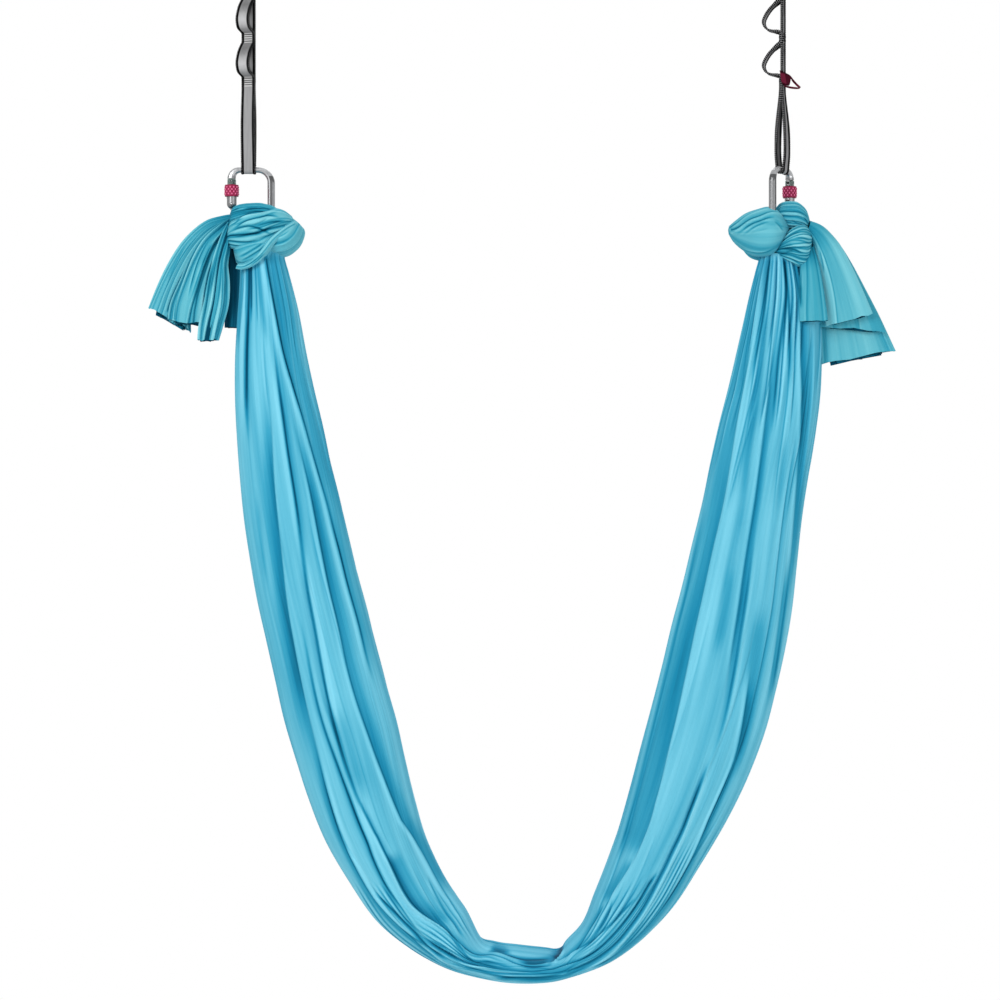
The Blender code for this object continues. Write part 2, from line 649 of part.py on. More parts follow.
def sleeve_mesh():
    """The locking sleeve about the gate's axis, its foot at height zero."""
    bore = GATE_THREAD_RADIUS + SEAT_GAP
    groove = bore + RING_WALL + SEAT_GAP
    seat = RING_HEIGHT / 2 + SEAT_GAP
    top = SLEEVE_HEIGHT - SLEEVE_END_HEIGHT
    profile = [(SLEEVE_END_RADIUS, SLEEVE_HEIGHT), (SLEEVE_RADIUS, top)]
    for row in range(1, KNURL_ROWS):
        middle = top - (top - SLEEVE_END_HEIGHT) * row / KNURL_ROWS
        half = KNURL_ROW_WIDTH / 2
        profile += [
            (SLEEVE_RADIUS, middle + half), (SLEEVE_RADIUS - KNURL_ROW_DEPTH, middle),
            (SLEEVE_RADIUS, middle - half),
        ]
    profile += [
        (SLEEVE_RADIUS, SLEEVE_END_HEIGHT), (SLEEVE_END_RADIUS, 0), (bore, 0),
        (bore, RING_RISE - seat), (groove, RING_RISE - seat), (groove, RING_RISE + seat),
        (bore, RING_RISE + seat), (bore, SLEEVE_HEIGHT),
    ]
    sleeve = turned("sleeve_blank", profile, 28, closed=True)
    bm = bmesh.new()
    for flute in range(KNURL_FLUTES):
        angle = tau * flute / KNURL_FLUTES
        place = (SLEEVE_RADIUS * cos(angle), SLEEVE_RADIUS * sin(angle), SLEEVE_HEIGHT / 2)
        turn = Matrix.Translation(place) @ Matrix.Rotation(angle, 4, "Z")
        bmesh.ops.create_cone(
            bm, cap_ends=True, segments=6, radius1=KNURL_RADIUS, radius2=KNURL_RADIUS,
            depth=SLEEVE_HEIGHT + CUT_OVERRUN, matrix=turn
        )
    boolean(sleeve, add_object("flutes", mesh_from(bm, "flutes")))
    return finished_mesh(sleeve, "locking_sleeve")


def ring_mesh():
    inner = GATE_THREAD_RADIUS + SEAT_GAP
    half = RING_HEIGHT / 2
    profile = [
        (inner + RING_WALL, RING_RISE + half), (inner + RING_WALL, RING_RISE - half),
        (inner, RING_RISE - half), (inner, RING_RISE + half),
    ]
    return finished_mesh(turned("ring_blank", profile, 24, closed=True), "friction_ring")


# Cloth

def ripple(point, along):
    return FOLD_HEIGHT * cos(tau * point.dot(along) / FOLD_PITCH)


def lobe_reach(direction, lobe_shares):
    """How far a ray from the knot's middle runs to the far side of one lobe, or zero."""
    size = (KNOT_HALF_WIDTH, KNOT_HALF_DEPTH, KNOT_HALF_HEIGHT)
    centre = Vector([share * whole for share, whole in zip(lobe_shares[:3], size)])
    half_sizes = [share * whole for share, whole in zip(lobe_shares[3:6], size)]
    unturn = Matrix.Rotation(-lobe_shares[6] * LOBE_TURN, 3, "Y")
    ray = unturn @ direction
    away = unturn @ centre
    ray = Vector([ray[k] / half_sizes[k] for k in range(3)])
    away = Vector([away[k] / half_sizes[k] for k in range(3)])
    b = ray.dot(away)
    root = b * b - ray.dot(ray) * (away.dot(away) - 1)
    return max((b + sqrt(root)) / ray.dot(ray), 0) if root > 0 else 0


def knot_mesh(name, lobe_shares, along, side_limit, floor):
    """A gathered knot: the outer skin of its lobes with low folds.

    side_limit is the X of the flat side that the tail leaves from, and floor the underside's Z.
    """
    rings = []
    for ring in range(1, KNOT_RINGS):
        slope = pi * ring / KNOT_RINGS
        row = []
        for side in range(KNOT_SIDES):
            around = tau * side / KNOT_SIDES
            ray = Vector((sin(slope) * cos(around), sin(slope) * sin(around), cos(slope)))
            reach = max(lobe_reach(ray, shares) for shares in lobe_shares)
            reach += ripple(ray * reach, along)
            if ray.z < 0:
                reach = min(reach, floor / ray.z)
            if ray.x * side_limit > 0:
                reach = min(reach, side_limit / ray.x)
            row.append(ray * reach)
        rings.append(row)
    return loft(name, rings, radians(50))


def clear_of_carabiner(knot, parent):
    """Cut the way of the carabiner's lower half, its hinge and its gate out of a knot."""
    channel = body_tube(knot.name + "_channel", KNOT_CLEARANCE, 2)
    channel.parent = parent
    room = GATE_RADIUS + KNOT_CLEARANCE
    hinge = cross_pin(knot.name + "_hinge_room", room, -room, room, PIVOT, parent=parent)
    low = (PIVOT[0] - room, -room, PIVOT[1])
    gate = box(knot.name + "_gate_room", low, (PIVOT[0] + room, room, PIVOT[1] + GATE_LENGTH), parent)
    boolean(knot, channel)
    boolean(knot, hinge)
    boolean(knot, gate)


def between(table, t):
    """Values of a table of rows at share t of its length, on a smooth run through its rows."""
    last = len(table) - 1
    i = min(int(t * last), last - 1)
    f = t * last - i
    a, b, c, d = (table[min(max(k, 0), last)] for k in range(i - 1, i + 3))
    return [
        q + f * (r - p) / 2 + f * f * (p - 5 * q / 2 + 2 * r - s / 2) + f ** 3 * (3 * (q - r) + s - p) / 2
        for p, q, r, s in zip(a, b, c, d)
    ]


def tail_mesh(name, table, direction, spread, drop, bow, folds):
    """A free end of the cloth as a folded sheet from its root at the knot to its hem."""
    count = folds * FOLD_POINTS
    rings = []
    for ring in range(TAIL_RINGS + 1):
        t = ring / TAIL_RINGS
        upper_x, upper_z, lower_x, lower_z = between(table, t)
        upper = Vector((direction * upper_x * spread, 0, -upper_z * drop))
        lower = Vector((direction * lower_x * spread, 0, -lower_z * drop))
        front, back = [], []
        for i in range(count + 1):
            s = i / count
            middle = upper.lerp(lower, s)
            middle.z -= bow * t * t * 4 * s * (1 - s)
            wave = TAIL_FOLD_DEPTH * t * (1 - t / 3) * cos(pi * i / (FOLD_POINTS / 2))
            half = TAIL_THICKNESS / 2 * (1 + (1 - t) * ROOT_SWELL_SHARE)
            front.append(middle + Vector((0, wave - half, 0)))
            back.append(middle + Vector((0, wave + half, 0)))
        rings.append(front + back[::-1])
    return loft(name, rings, radians(50))


def sling_mesh(name):
    """The gathered U of cloth, round in section with its main folds running along it."""
    top = KNOT_HEIGHT - KNOT_UNDERSIDE - SEAT_GAP
    middles = [
        Vector((SLING_SHIFT + x * SLING_HALF_SPAN, 0, top - z * SLING_DROP))
        for x, z, _, _ in SLING_SHARES
    ]
    sides = SLING_FOLDS * FOLD_POINTS
    rings = []
    for i, (_, _, width, depth) in enumerate(SLING_SHARES):
        run = (middles[min(i + 1, len(middles) - 1)] - middles[max(i - 1, 0)]).normalized()
        if i in (0, len(middles) - 1):
            run = Vector((0, 0, run.z)).normalized()
        across = Vector((-run.z, 0, run.x))
        ring = []
        for side in range(sides):
            angle = tau * side / sides
            reach = 1 + SLING_FOLD_SHARE * (cos(SLING_FOLDS * angle) - 1) / 2
            ring.append(
                middles[i]
                + across * (width * SLING_HALF_WIDTH * reach * cos(angle))
                + Vector((0, depth * SLING_HALF_DEPTH * reach * sin(angle), 0))
            )
        rings.append(ring)
    return loft(name, rings, radians(60))


# Values worked out from the sizes above

WELD = 0.01 * MM
SHARP_ANGLE = radians(35)
LAYER_OUT = (WEBBING_THICKNESS + SEAT_GAP) / 2
TACK_HEIGHTS = [-EYE_LENGTH - TACK_HEIGHT / 2 - TACK_PITCH * i for i in range(TACKS)]
LOWEST_TACK = TACK_HEIGHTS[-1]
BAR_HEIGHT = LOWEST_TACK - LOOP_DROP
NOSE_FOOT = -NOSE_CORNER_RADIUS - NOSE_STRAIGHT
GATE_LENGTH = sqrt((PIVOT_DROP + NOSE_FOOT - SWING_CLEARANCE) ** 2 - GATE_THREAD_RADIUS ** 2)
SLEEVE_FOOT = GATE_SHOULDER + SEAT_GAP
BLADE_FOOT = hypot(SLEEVE_FOOT + SLEEVE_HEIGHT, SLEEVE_END_RADIUS) + SWING_CLEARANCE
LATCH_PIN_HEIGHT = BLADE_FOOT + BLADE_LIP + NOTCH_RELIEF + SEAT_GAP + LATCH_PIN_RADIUS
PIVOT = (-GATE_OFFSET, -PIVOT_DROP)
KNOT_HEIGHT = BAR_HEIGHT + BAR_RADIUS - KNOT_PLACE_SHARE * CARABINER_HEIGHT
SLING_HALF_SPAN = ANCHOR_SPACING / 2 - SLING_INSET
LEG_SHARES = (0.45, 0.8)  # where the leg's straight run ends and its handle, of its depth
ROOT_SWELL_SHARE = 1.2  # how much thicker a tail is where it leaves the knot


# Assemblies

def build_strap(side, centre, turn, twist):
    frame = add_empty(side + "_strap", place=(centre, 0, 0), turn=(0, 0, turn))
    add_object(side + "_strap_webbing", strap_webbing(side, twist), "webbing", frame)
    add_object(side + "_carabiner_loop", carabiner_loop(side, twist), "webbing", frame)
    for level, height in zip(("upper", "middle", "lower"), TACK_HEIGHTS):
        for face, sign in (("front", 1), ("back", -1)):
            name = f"{side}_{level}_tack_{face}"
            add_object(name, bar_tack(name, height, sign, twist), "thread", frame)
    return frame


def build_carabiner(side, frame, meshes):
    """One carabiner, its gate's pieces on the pivot and its sleeve on the gate's axis."""
    base = add_empty(side + "_carabiner", frame, (0, 0, BAR_HEIGHT))
    add_object(side + "_carabiner_body", meshes["body"], "steel", base)
    pivot = add_empty(side + "_gate_pivot", base, (PIVOT[0], 0, PIVOT[1]))
    add_object(side + "_gate", meshes["gate"], "steel", pivot)
    across = (pi / 2, 0, 0)
    add_object(side + "_gate_rivet", meshes["rivet"], "steel", pivot, turn=across)
    pin_place = (0, 0, LATCH_PIN_HEIGHT)
    add_object(side + "_latch_pin", meshes["latch_pin"], "steel", pivot, pin_place, across)
    add_object(side + "_gate_plunger", meshes["plunger"], "steel", pivot)
    add_object(side + "_gate_spring", spring_curve(), "steel", pivot)
    foot = (0, 0, SLEEVE_FOOT)
    add_object(side + "_locking_sleeve", meshes["sleeve"], "sleeve", pivot, foot)
    add_object(side + "_friction_ring", meshes["ring"], "nylon", pivot, foot)
    return base


def build_cloth(bases):
    """The knots, tails and sling round the two carabiners."""
    left = -ANCHOR_SPACING / 2
    right = ANCHOR_SPACING / 2
    limit = LEFT_TAIL_ROOT - LEFT_KNOT_OFFSET + SEAT_GAP
    mesh = knot_mesh("left_knot", LEFT_LOBE_SHARES, Vector((0.1, 0, 1)), limit, -KNOT_UNDERSIDE)
    knot = add_object("left_knot", mesh, "cloth", place=(left + LEFT_KNOT_OFFSET, 0, KNOT_HEIGHT))
    clear_of_carabiner(knot, bases["left"])
    limit = RIGHT_TAIL_ROOT - RIGHT_KNOT_OFFSET - SEAT_GAP
    mesh = knot_mesh("right_knot", RIGHT_LOBE_SHARES, Vector((0.3, 0, 1)), limit, -KNOT_UNDERSIDE)
    knot = add_object("right_knot", mesh, "cloth", place=(right + RIGHT_KNOT_OFFSET, 0, KNOT_HEIGHT))
    clear_of_carabiner(knot, bases["right"])
    mesh = tail_mesh(
        "left_tail", LEFT_TAIL_SHARES, -1, LEFT_TAIL_SPREAD, LEFT_TAIL_DROP, LEFT_TAIL_BOW,
        LEFT_TAIL_FOLDS
    )
    place = (left + LEFT_TAIL_ROOT, 0, KNOT_HEIGHT + LEFT_TAIL_RISE)
    add_object("left_tail", mesh, "cloth", place=place)
    mesh = tail_mesh(
        "right_tail", RIGHT_TAIL_SHARES, 1, RIGHT_TAIL_SPREAD, RIGHT_TAIL_DROP, RIGHT_TAIL_BOW,
        RIGHT_TAIL_FOLDS
    )
    place = (right + RIGHT_TAIL_ROOT, 0, KNOT_HEIGHT + RIGHT_TAIL_RISE)
    add_object("right_tail", mesh, "cloth", place=place)
    add_object("sling", sling_mesh("sling"), "cloth")


def build():
    left = build_strap("left", -ANCHOR_SPACING / 2, TURN_LEFT, TWIST_LEFT)
    right = build_strap("right", ANCHOR_SPACING / 2, TURN_RIGHT, TWIST_RIGHT)
    add_object("red_tab", red_tab("red_tab", TWIST_RIGHT), "tab", right)
    meshes = {
        "body": carabiner_body_mesh(),
        "gate": gate_mesh(),
        "rivet": pin_mesh("gate_rivet", RIVET_RADIUS, RIVET_LENGTH, RIVET_DOME),
        "latch_pin": pin_mesh("latch_pin", LATCH_PIN_RADIUS, LATCH_PIN_LENGTH, RIVET_DOME),
        "plunger": plunger_mesh(),
        "sleeve": sleeve_mesh(),
        "ring": ring_mesh(),
    }
    bases = {
        "left": build_carabiner("left", left, meshes),
        "right": build_carabiner("right", right, meshes),
    }
    build_cloth(bases)
    bpy.context.view_layer.update()


clear_scene()
PARTS = new_collection("aerial_hammock")
CUTTERS = new_collection("cutters")
build()
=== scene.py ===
"""Dresses the solids of the aerial hammock: woven straps, polished carabiners and gathered cloth.

Lengths are metres in the CAD's frame: +X runs from the left strap to the right one, -Y faces the
viewer and +Z is up. Outlines and folds that are read off the front view are given as columns and
rows of a grid over that view, which front() turns into X and Z.
"""

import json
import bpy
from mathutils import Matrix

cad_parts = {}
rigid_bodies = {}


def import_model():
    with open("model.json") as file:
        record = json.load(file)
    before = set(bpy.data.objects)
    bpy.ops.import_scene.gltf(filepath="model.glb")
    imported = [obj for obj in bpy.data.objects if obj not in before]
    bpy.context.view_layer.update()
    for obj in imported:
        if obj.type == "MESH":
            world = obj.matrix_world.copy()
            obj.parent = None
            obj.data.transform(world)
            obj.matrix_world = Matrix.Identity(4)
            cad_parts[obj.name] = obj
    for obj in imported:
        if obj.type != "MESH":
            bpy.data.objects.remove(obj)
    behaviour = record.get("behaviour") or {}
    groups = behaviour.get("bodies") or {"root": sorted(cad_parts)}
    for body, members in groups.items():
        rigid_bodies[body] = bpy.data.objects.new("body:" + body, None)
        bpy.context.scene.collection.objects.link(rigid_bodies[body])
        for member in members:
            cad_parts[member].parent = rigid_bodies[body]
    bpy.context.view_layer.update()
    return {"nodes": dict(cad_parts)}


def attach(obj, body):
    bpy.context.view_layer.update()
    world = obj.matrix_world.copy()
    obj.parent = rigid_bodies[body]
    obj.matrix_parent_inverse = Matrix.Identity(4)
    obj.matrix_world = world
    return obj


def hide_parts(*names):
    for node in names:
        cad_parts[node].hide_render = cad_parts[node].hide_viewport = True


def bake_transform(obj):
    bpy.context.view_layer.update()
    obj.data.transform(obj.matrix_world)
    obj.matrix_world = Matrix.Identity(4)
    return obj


bl_info = {
    "name": "Aerial hammock dress",
    "version": (1, 0, 0),
    "blender": (4, 5, 0),
    "location": "3D View > Sidebar > Hammock",
    "description": "Builds the straps, carabiner finishes and cloth of an aerial hammock",
    "category": "Object",
}

from math import hypot, pi, radians, tau

import bmesh
import bpy
import numpy as np
from mathutils import Matrix, Vector

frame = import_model()

MM = 0.001
SIDES = ("left", "right")

# Camera and the grid over its view
VIEW_DISTANCE = 4.0
VIEW_WIDTH = 1.375
GRID_STEP = 1.375 * MM
GRID_MIDDLE = 515.5  # column of X = 0
GRID_TOP = 55  # rows from Z = 0 to the view's top edge
VIEW_CENTRE = 500  # column and row
CAMERA_X = (VIEW_CENTRE - GRID_MIDDLE) * GRID_STEP
CAMERA_Z = -(VIEW_CENTRE + GRID_TOP) * GRID_STEP
SENSOR = 36.0

# Lamps: name, place, size in metres and power in watts
LAMPS = (
    ("key", (-1.7, -2.7, 0.6), 1.6, 58),
    ("fill", (2.2, -2.4, -0.6), 2.2, 26),
    ("top", (0.3, 1.6, 1.8), 1.8, 30),
)
LAMPS_AIM = (0, 0, -0.8)
SURROUND_LIGHT = 0.52  # strength of the light that the white surround casts
FLOOR_SIZE = 6
FLOOR_HEIGHT = -2.2
FLOOR_WHITES = (0.86, 0.86, 0.87), (0.9, 0.9, 0.9)

# Straps, each in its own frame: across the webbing, out towards the pockets, and height
STRAP_PLACE = 367 * MM
STRAP_TURNS = {"left": 0.0, "right": radians(239)}
STRAP_TWISTS = {"left": radians(-14), "right": radians(15)}
LAYER_OUT = 0.95 * MM  # middle of each of the two layers
TACKS = (-68 * MM, -128 * MM, -188 * MM)
TACK_HALF = 6.5 * MM
EYE_FOOT = -61.5 * MM
EYE_WIDEST = -9 * MM
EYE_CROWN = 9.8 * MM
EYE_HANDLE = (EYE_FOOT - EYE_WIDEST) / 2
POCKET_REACH = 25 * MM
# A pocket's turns: shares of its reach and of its height, from its upper tack down
POCKET_SHARES = (
    (0, 0), (0.20, 0.08), (0.60, 0.27), (0.88, 0.48), (1, 0.68), (0.80, 0.87), (0.40, 0.94),
    (0.06, 0.97), (0, 1),
)
BAR_HEIGHT = -309.5 * MM
LOOP_TOP = -188.3 * MM
LOOP_SEAT = 4.9 * MM
LOOP_BULGE = 1.8 * MM
LOOP_BULGE_HEIGHT = 26 * MM

# Webbing: its mesh, its corded edges, and the pitches of its weave
WEB_STEP = 0.45 * MM
SELVEDGE = 4.2 * MM  # width outside the flat woven face
CORD_INSET = 1.6 * MM  # from the webbing's edge to the middle of its cord
CORD_REACH = 1.5 * MM
CORD_HALF = 1.3 * MM  # half the cord's thickness where it goes over the bar
CORD_PLUMP = {"left": 0, "right": 0.9 * MM}  # how much it swells away from the bar
CORD_CLEAR = 20 * MM  # how far above the bar the swelling starts
CORD_FLAT = (6 * MM, 14 * MM)  # how far out from the strap it ends
BEAD_PITCH = 2.6 * MM
BEAD_REACH = 0.5 * MM
BEAD_RISE = 0.25 * MM
BEAD_SLANT = 4 * MM
RIB_PITCH = 1.9 * MM
WEFT_PITCH = 1.1 * MM
BLACK_EDGE = {"left": 4.2 * MM, "right": 6.4 * MM}
FLECK_EDGE = 1.4 * MM
FLECK_SHARE = 0.12  # of each bead
# Painted light on each pocket: heights over its lower tack of the painted highlight and of the
# painted shade, and their reach
HIGHLIGHT_OVER_TACK = 21 * MM  # where the bowed webbing is palest, and where it is darkest
SHADE_OVER_TACK = 44 * MM
PAINTED_LIGHT_REACH = 14 * MM
STITCH_GREY = (0.82, 0.82, 0.82)

# Red tab on the right strap: column, row and Y of its upper edge, then of its lower edge
TAB_ROWS = (
    (779, 71, -8, 781, 85, -12), (783, 73, -10, 785, 87, -14), (787, 75, -11, 788.5, 86.5, -14),
    (789.2, 76.6, -12, 790, 80.4, -13.5), (792, 80, -12, 791.4, 83, -13),
    (796, 84.6, -12, 795.2, 87, -13), (799.8, 88.4, -11, 798.3, 89.8, -12),
    (795, 88, -8, 794, 90, -10), (789, 87, -6, 789, 89.2, -9), (783, 85.5, -4, 784, 87.6, -8),
)
TAB_THICKNESS = 0.8 * MM
TAB_LOOP = (11 * MM, 44 * MM)  # darker stretch of its length
TAB_TWILL = 0.9 * MM

# Carabiners: axes of the spines and gates seen from above, and heights
SPINE_AXES = {"left": (-335.9 * MM, 0), "right": (350.98 * MM, -26.66 * MM)}
GATE_AXES = {"left": (-390.2 * MM, 0), "right": (378.949 * MM, 19.886 * MM)}
SPINE_RADIUS = 5.2 * MM
SPINE_SPAN = (-372 * MM, -318 * MM)
# Painted shade on the spine: how much darker its reflections are painted, and the half width of
# the darker facet down its front
SPINE_SHADE = {"left": 0.3, "right": 0.55}  # how much darker the spine's reflections are
FACET_SHADE_HALF = 2.3 * MM
SLEEVE_FOOT = -346 * MM
SLEEVE_HEIGHT = 15.9 * MM
SLEEVE_TOP = SLEEVE_FOOT + SLEEVE_HEIGHT
SLEEVE_RADIUS = 9.5 * MM
SLEEVE_BORE = 6.5 * MM
SLEEVE_END = 8.4 * MM
SLEEVE_LIP = 1.8 * MM
SLEEVE_BEVEL = 0.22 * MM
BUMP_SECTORS = 24
BUMP_ROWS = 4
BUMP_RISE = 0.8 * MM
BUMP_GAP = 0.18 * MM
BUMP_SLOPE = 0.35 * MM
BUMP_WORN = 0.35 * MM  # how far out the rubbed tips start
THREAD_PITCH = 1 * MM
# Greens of the screw thread, darker in its grooves as painted shade and paler on its ridges as a
# painted highlight
THREAD_SHADING_GREENS = (0.10, 0.15, 0.14), (0.42, 0.54, 0.50)
NYLON_BLACKS = (0.02, 0.02, 0.022), (0.06, 0.06, 0.065)

# Sling, left knot to right knot: outer edge (column, row), inner edge (column, row), middle's Y
# and half depth in millimetres
SLING_ROWS = (
    (240, 246, 282, 242, 0, 24), (240, 262, 286, 257, 0, 28), (239, 290, 293, 283, 0, 34),
    (237, 320, 300, 311, 0, 38), (235, 360, 307, 349, 0, 40), (235, 400, 315, 387, 0, 42),
    (237, 440, 324, 425, 0, 43), (240, 480, 332, 463, 0, 44), (244, 520, 341, 501, 0, 45),
    (250, 560, 349, 538, 0, 45), (257, 600, 358, 576, 0, 46), (266, 640, 368, 614, 0, 47),
    (275, 680, 377, 651, 0, 48), (284, 720, 387, 687, 0, 50), (296, 760, 397, 722, 0, 52),
    (309, 800, 405, 758, 0, 54), (325, 840, 415, 799, 0, 58), (348, 880, 427, 838, 0, 62),
    (376, 920, 447, 879, 0, 68), (410, 948, 466, 908, 0, 75), (442, 965, 482, 938, 0, 82),
    (475, 976, 497, 943, 0, 87), (506, 982, 517, 945, 0, 90), (535, 983, 540, 947, 0, 90),
    (560, 980, 557, 947, 0, 87), (586, 972, 566, 938.5, 0, 82), (614, 960, 582, 921, 0, 75),
    (645, 937, 594, 892, 0, 68), (674, 906, 606, 862, 0, 62), (701, 864, 618, 828, 0, 58),
    (727, 820, 629, 789, 0, 54), (748, 777, 640, 747, 0, 52), (765, 732, 651, 706, 0, 50),
    (776, 690, 661, 667, 0, 48), (785, 650, 671, 625, 0, 47), (792, 610, 681, 588, 0, 46),
    (797, 565, 692, 542, 0, 45), (802, 520, 702, 501, 0, 44), (808, 480, 710, 462, 0, 43),
    (815, 440, 719, 422, 0, 42), (820, 400, 728, 387, 0, 41), (822, 362, 736, 352, 0, 39),
    (822, 330, 743, 321, 0, 37), (820, 300, 749, 294, 0, 34), (812, 274, 755, 270, 0, 30),
    (804, 256, 760, 254, 0, 26),
)

# Folds of the sling that the front view shows: depth in millimetres, side that its slope is on
# (1 inner, -1 outer, 0 both), the slope's width in millimetres, how dark the painted shade of the
# slope and of the line is, then the places that it runs through
SLING_FOLDS = (
    # left arm
    (5, 1, 34, 0.36, 0.95, ((266, 258), (271, 286), (274, 314), (286.5, 358), (299, 404),
     (313, 447), (321, 481), (330, 511), (342, 555))),
    (4, 1, 10, 0.4, 0.95, ((322, 480), (333, 520), (339, 555), (344, 570), (352, 588), (357, 619),
     (362, 639), (370, 668), (378, 695))),
    (3, 1, 8, 0.33, 0.85, ((274, 332), (277.6, 363), (280, 399), (286.5, 440), (293, 481),
     (299, 511), (303, 557), (308, 590))),
    (4, -1, 9, 0.3, 0.95, ((296, 500), (300, 530), (302, 557), (310, 606), (317.5, 644),
     (326, 695), (331.5, 721), (343, 759), (352, 797), (366, 822))),
    (3, 1, 22, 0.45, 0.8, ((327, 700), (331, 721), (340, 750), (350, 780), (362, 805))),
    (4, 1, 13, 0.59, 0.76, ((288, 405), (302, 445), (310, 486), (315, 511), (322.6, 555),
     (331.5, 593), (339, 631), (349, 670), (357, 708), (370, 739), (385, 779), (398, 810),
     (418, 841), (434, 872), (447, 895))),
    (4, -1, 14, 0.63, 0.14, ((269, 380), (270, 399), (271, 434), (273, 486), (277, 524),
     (283, 555), (288, 631), (302, 682), (312, 733), (321, 770))),
    (5, -1, 6, 0.59, 0.95, ((305, 705), (312, 733), (324, 784), (339, 835), (352, 862), (366, 889),
     (388, 916), (414, 938), (440, 955))),
    (3, -1, 5, 0.26, 0.85, ((298, 600), (302, 631), (308.6, 662), (312, 688), (324, 733),
     (339, 774), (357, 810), (364, 836), (373, 860), (382, 880), (390, 893), (398, 903),
     (406, 914))),
    (2.5, 1, 4, 0.26, 0.95, ((249.5, 262), (249, 283), (248.6, 306), (248, 332), (247, 363),
     (246, 388), (248, 419), (249, 450))),
    (2, 0, 4, 0.4, 0.28, ((256, 260), (258, 285), (262, 310), (266, 334), (270, 350))),
    (2, -1, 6, 0.4, 0.28, ((246, 262), (242, 290), (240, 320), (238, 350))),
    (1.5, 0, 4, 0.2, 0.1, ((256, 486), (261, 537), (266, 590))),
    (2, 0, 2, 0.2, 0.19, ((284, 262), (292, 300), (299, 350))),
    # right arm
    (3, 1, 20, 0.22, 0.3, ((763, 262), (753, 319), (748, 358), (740, 396), (735, 429),
     (730, 473))),
    (3, 1, 26, 0.56, 0, ((741, 390), (735, 429), (730, 473), (722, 512), (709, 555), (700, 606),
     (689, 657), (677, 708), (666, 759), (654, 810), (641, 843), (630, 868))),
    (2, -1, 4, 0.07, 0.57, ((712, 480), (692.6, 555), (690, 576), (680, 619), (669.5, 658),
     (664, 683), (657, 709), (649, 747), (639, 786), (628.5, 822), (618, 860))),
    (3, 0, 5, 0.4, 0.38, ((765.6, 262), (764, 332), (763, 358), (753, 409), (750, 447),
     (742.6, 499), (737, 560))),
    (3, 0, 8, 0.33, 0.1, ((732, 545), (728, 594), (721, 632), (714, 662))),
    (3, -1, 7, 0.56, 0.57, ((776, 300), (774.6, 340), (768, 399), (764, 447), (758, 486),
     (753, 524), (747, 555), (740, 593), (733, 657), (729, 677), (724, 705))),
    (3, 1, 7, 0.33, 0.66, ((756, 520), (748, 580), (741, 627), (736, 658), (731, 688), (726, 714),
     (718, 745), (708, 770))),
    (2, 1, 3, 0.26, 0.85, ((786, 262), (783.6, 306), (780, 340), (776, 370), (773, 409),
     (771, 450))),
    (3, -1, 9, 0.63, 0.57, ((795, 262), (798, 300), (801, 332), (802, 370), (802, 409), (800, 460),
     (797, 499), (794, 537), (789, 580), (783, 620))),
    (1.5, 0, 10, 0.3, 0, ((762, 600), (757, 640), (753, 668), (748, 700))),
    (3, -1, 11, 0.59, 0.66, ((752, 660), (749, 680), (744, 709), (741, 735), (736, 760),
     (729, 784))),
    (1, 0, 1.2, 0, 0.76, ((794, 545), (787, 583), (781, 619), (778, 658), (773, 688), (767, 719))),
    (1, 0, 1.2, 0, 0.57, ((791, 545), (784, 583), (778, 619), (775, 658), (770, 688), (764, 719))),
    (2, 1, 4, 0.33, 0.66, ((770, 262), (765, 300), (757, 350), (749, 390))),
    (2, -1, 4, 0.33, 0.76, ((783, 262), (788, 292), (790, 340), (789, 400))),
    (2, 0, 5, 0.2, 0.1, ((785, 420), (783, 470), (778, 520))),
    (2, 0, 6, 0.2, 0.1, ((744, 500), (735, 540), (728, 575))),
)
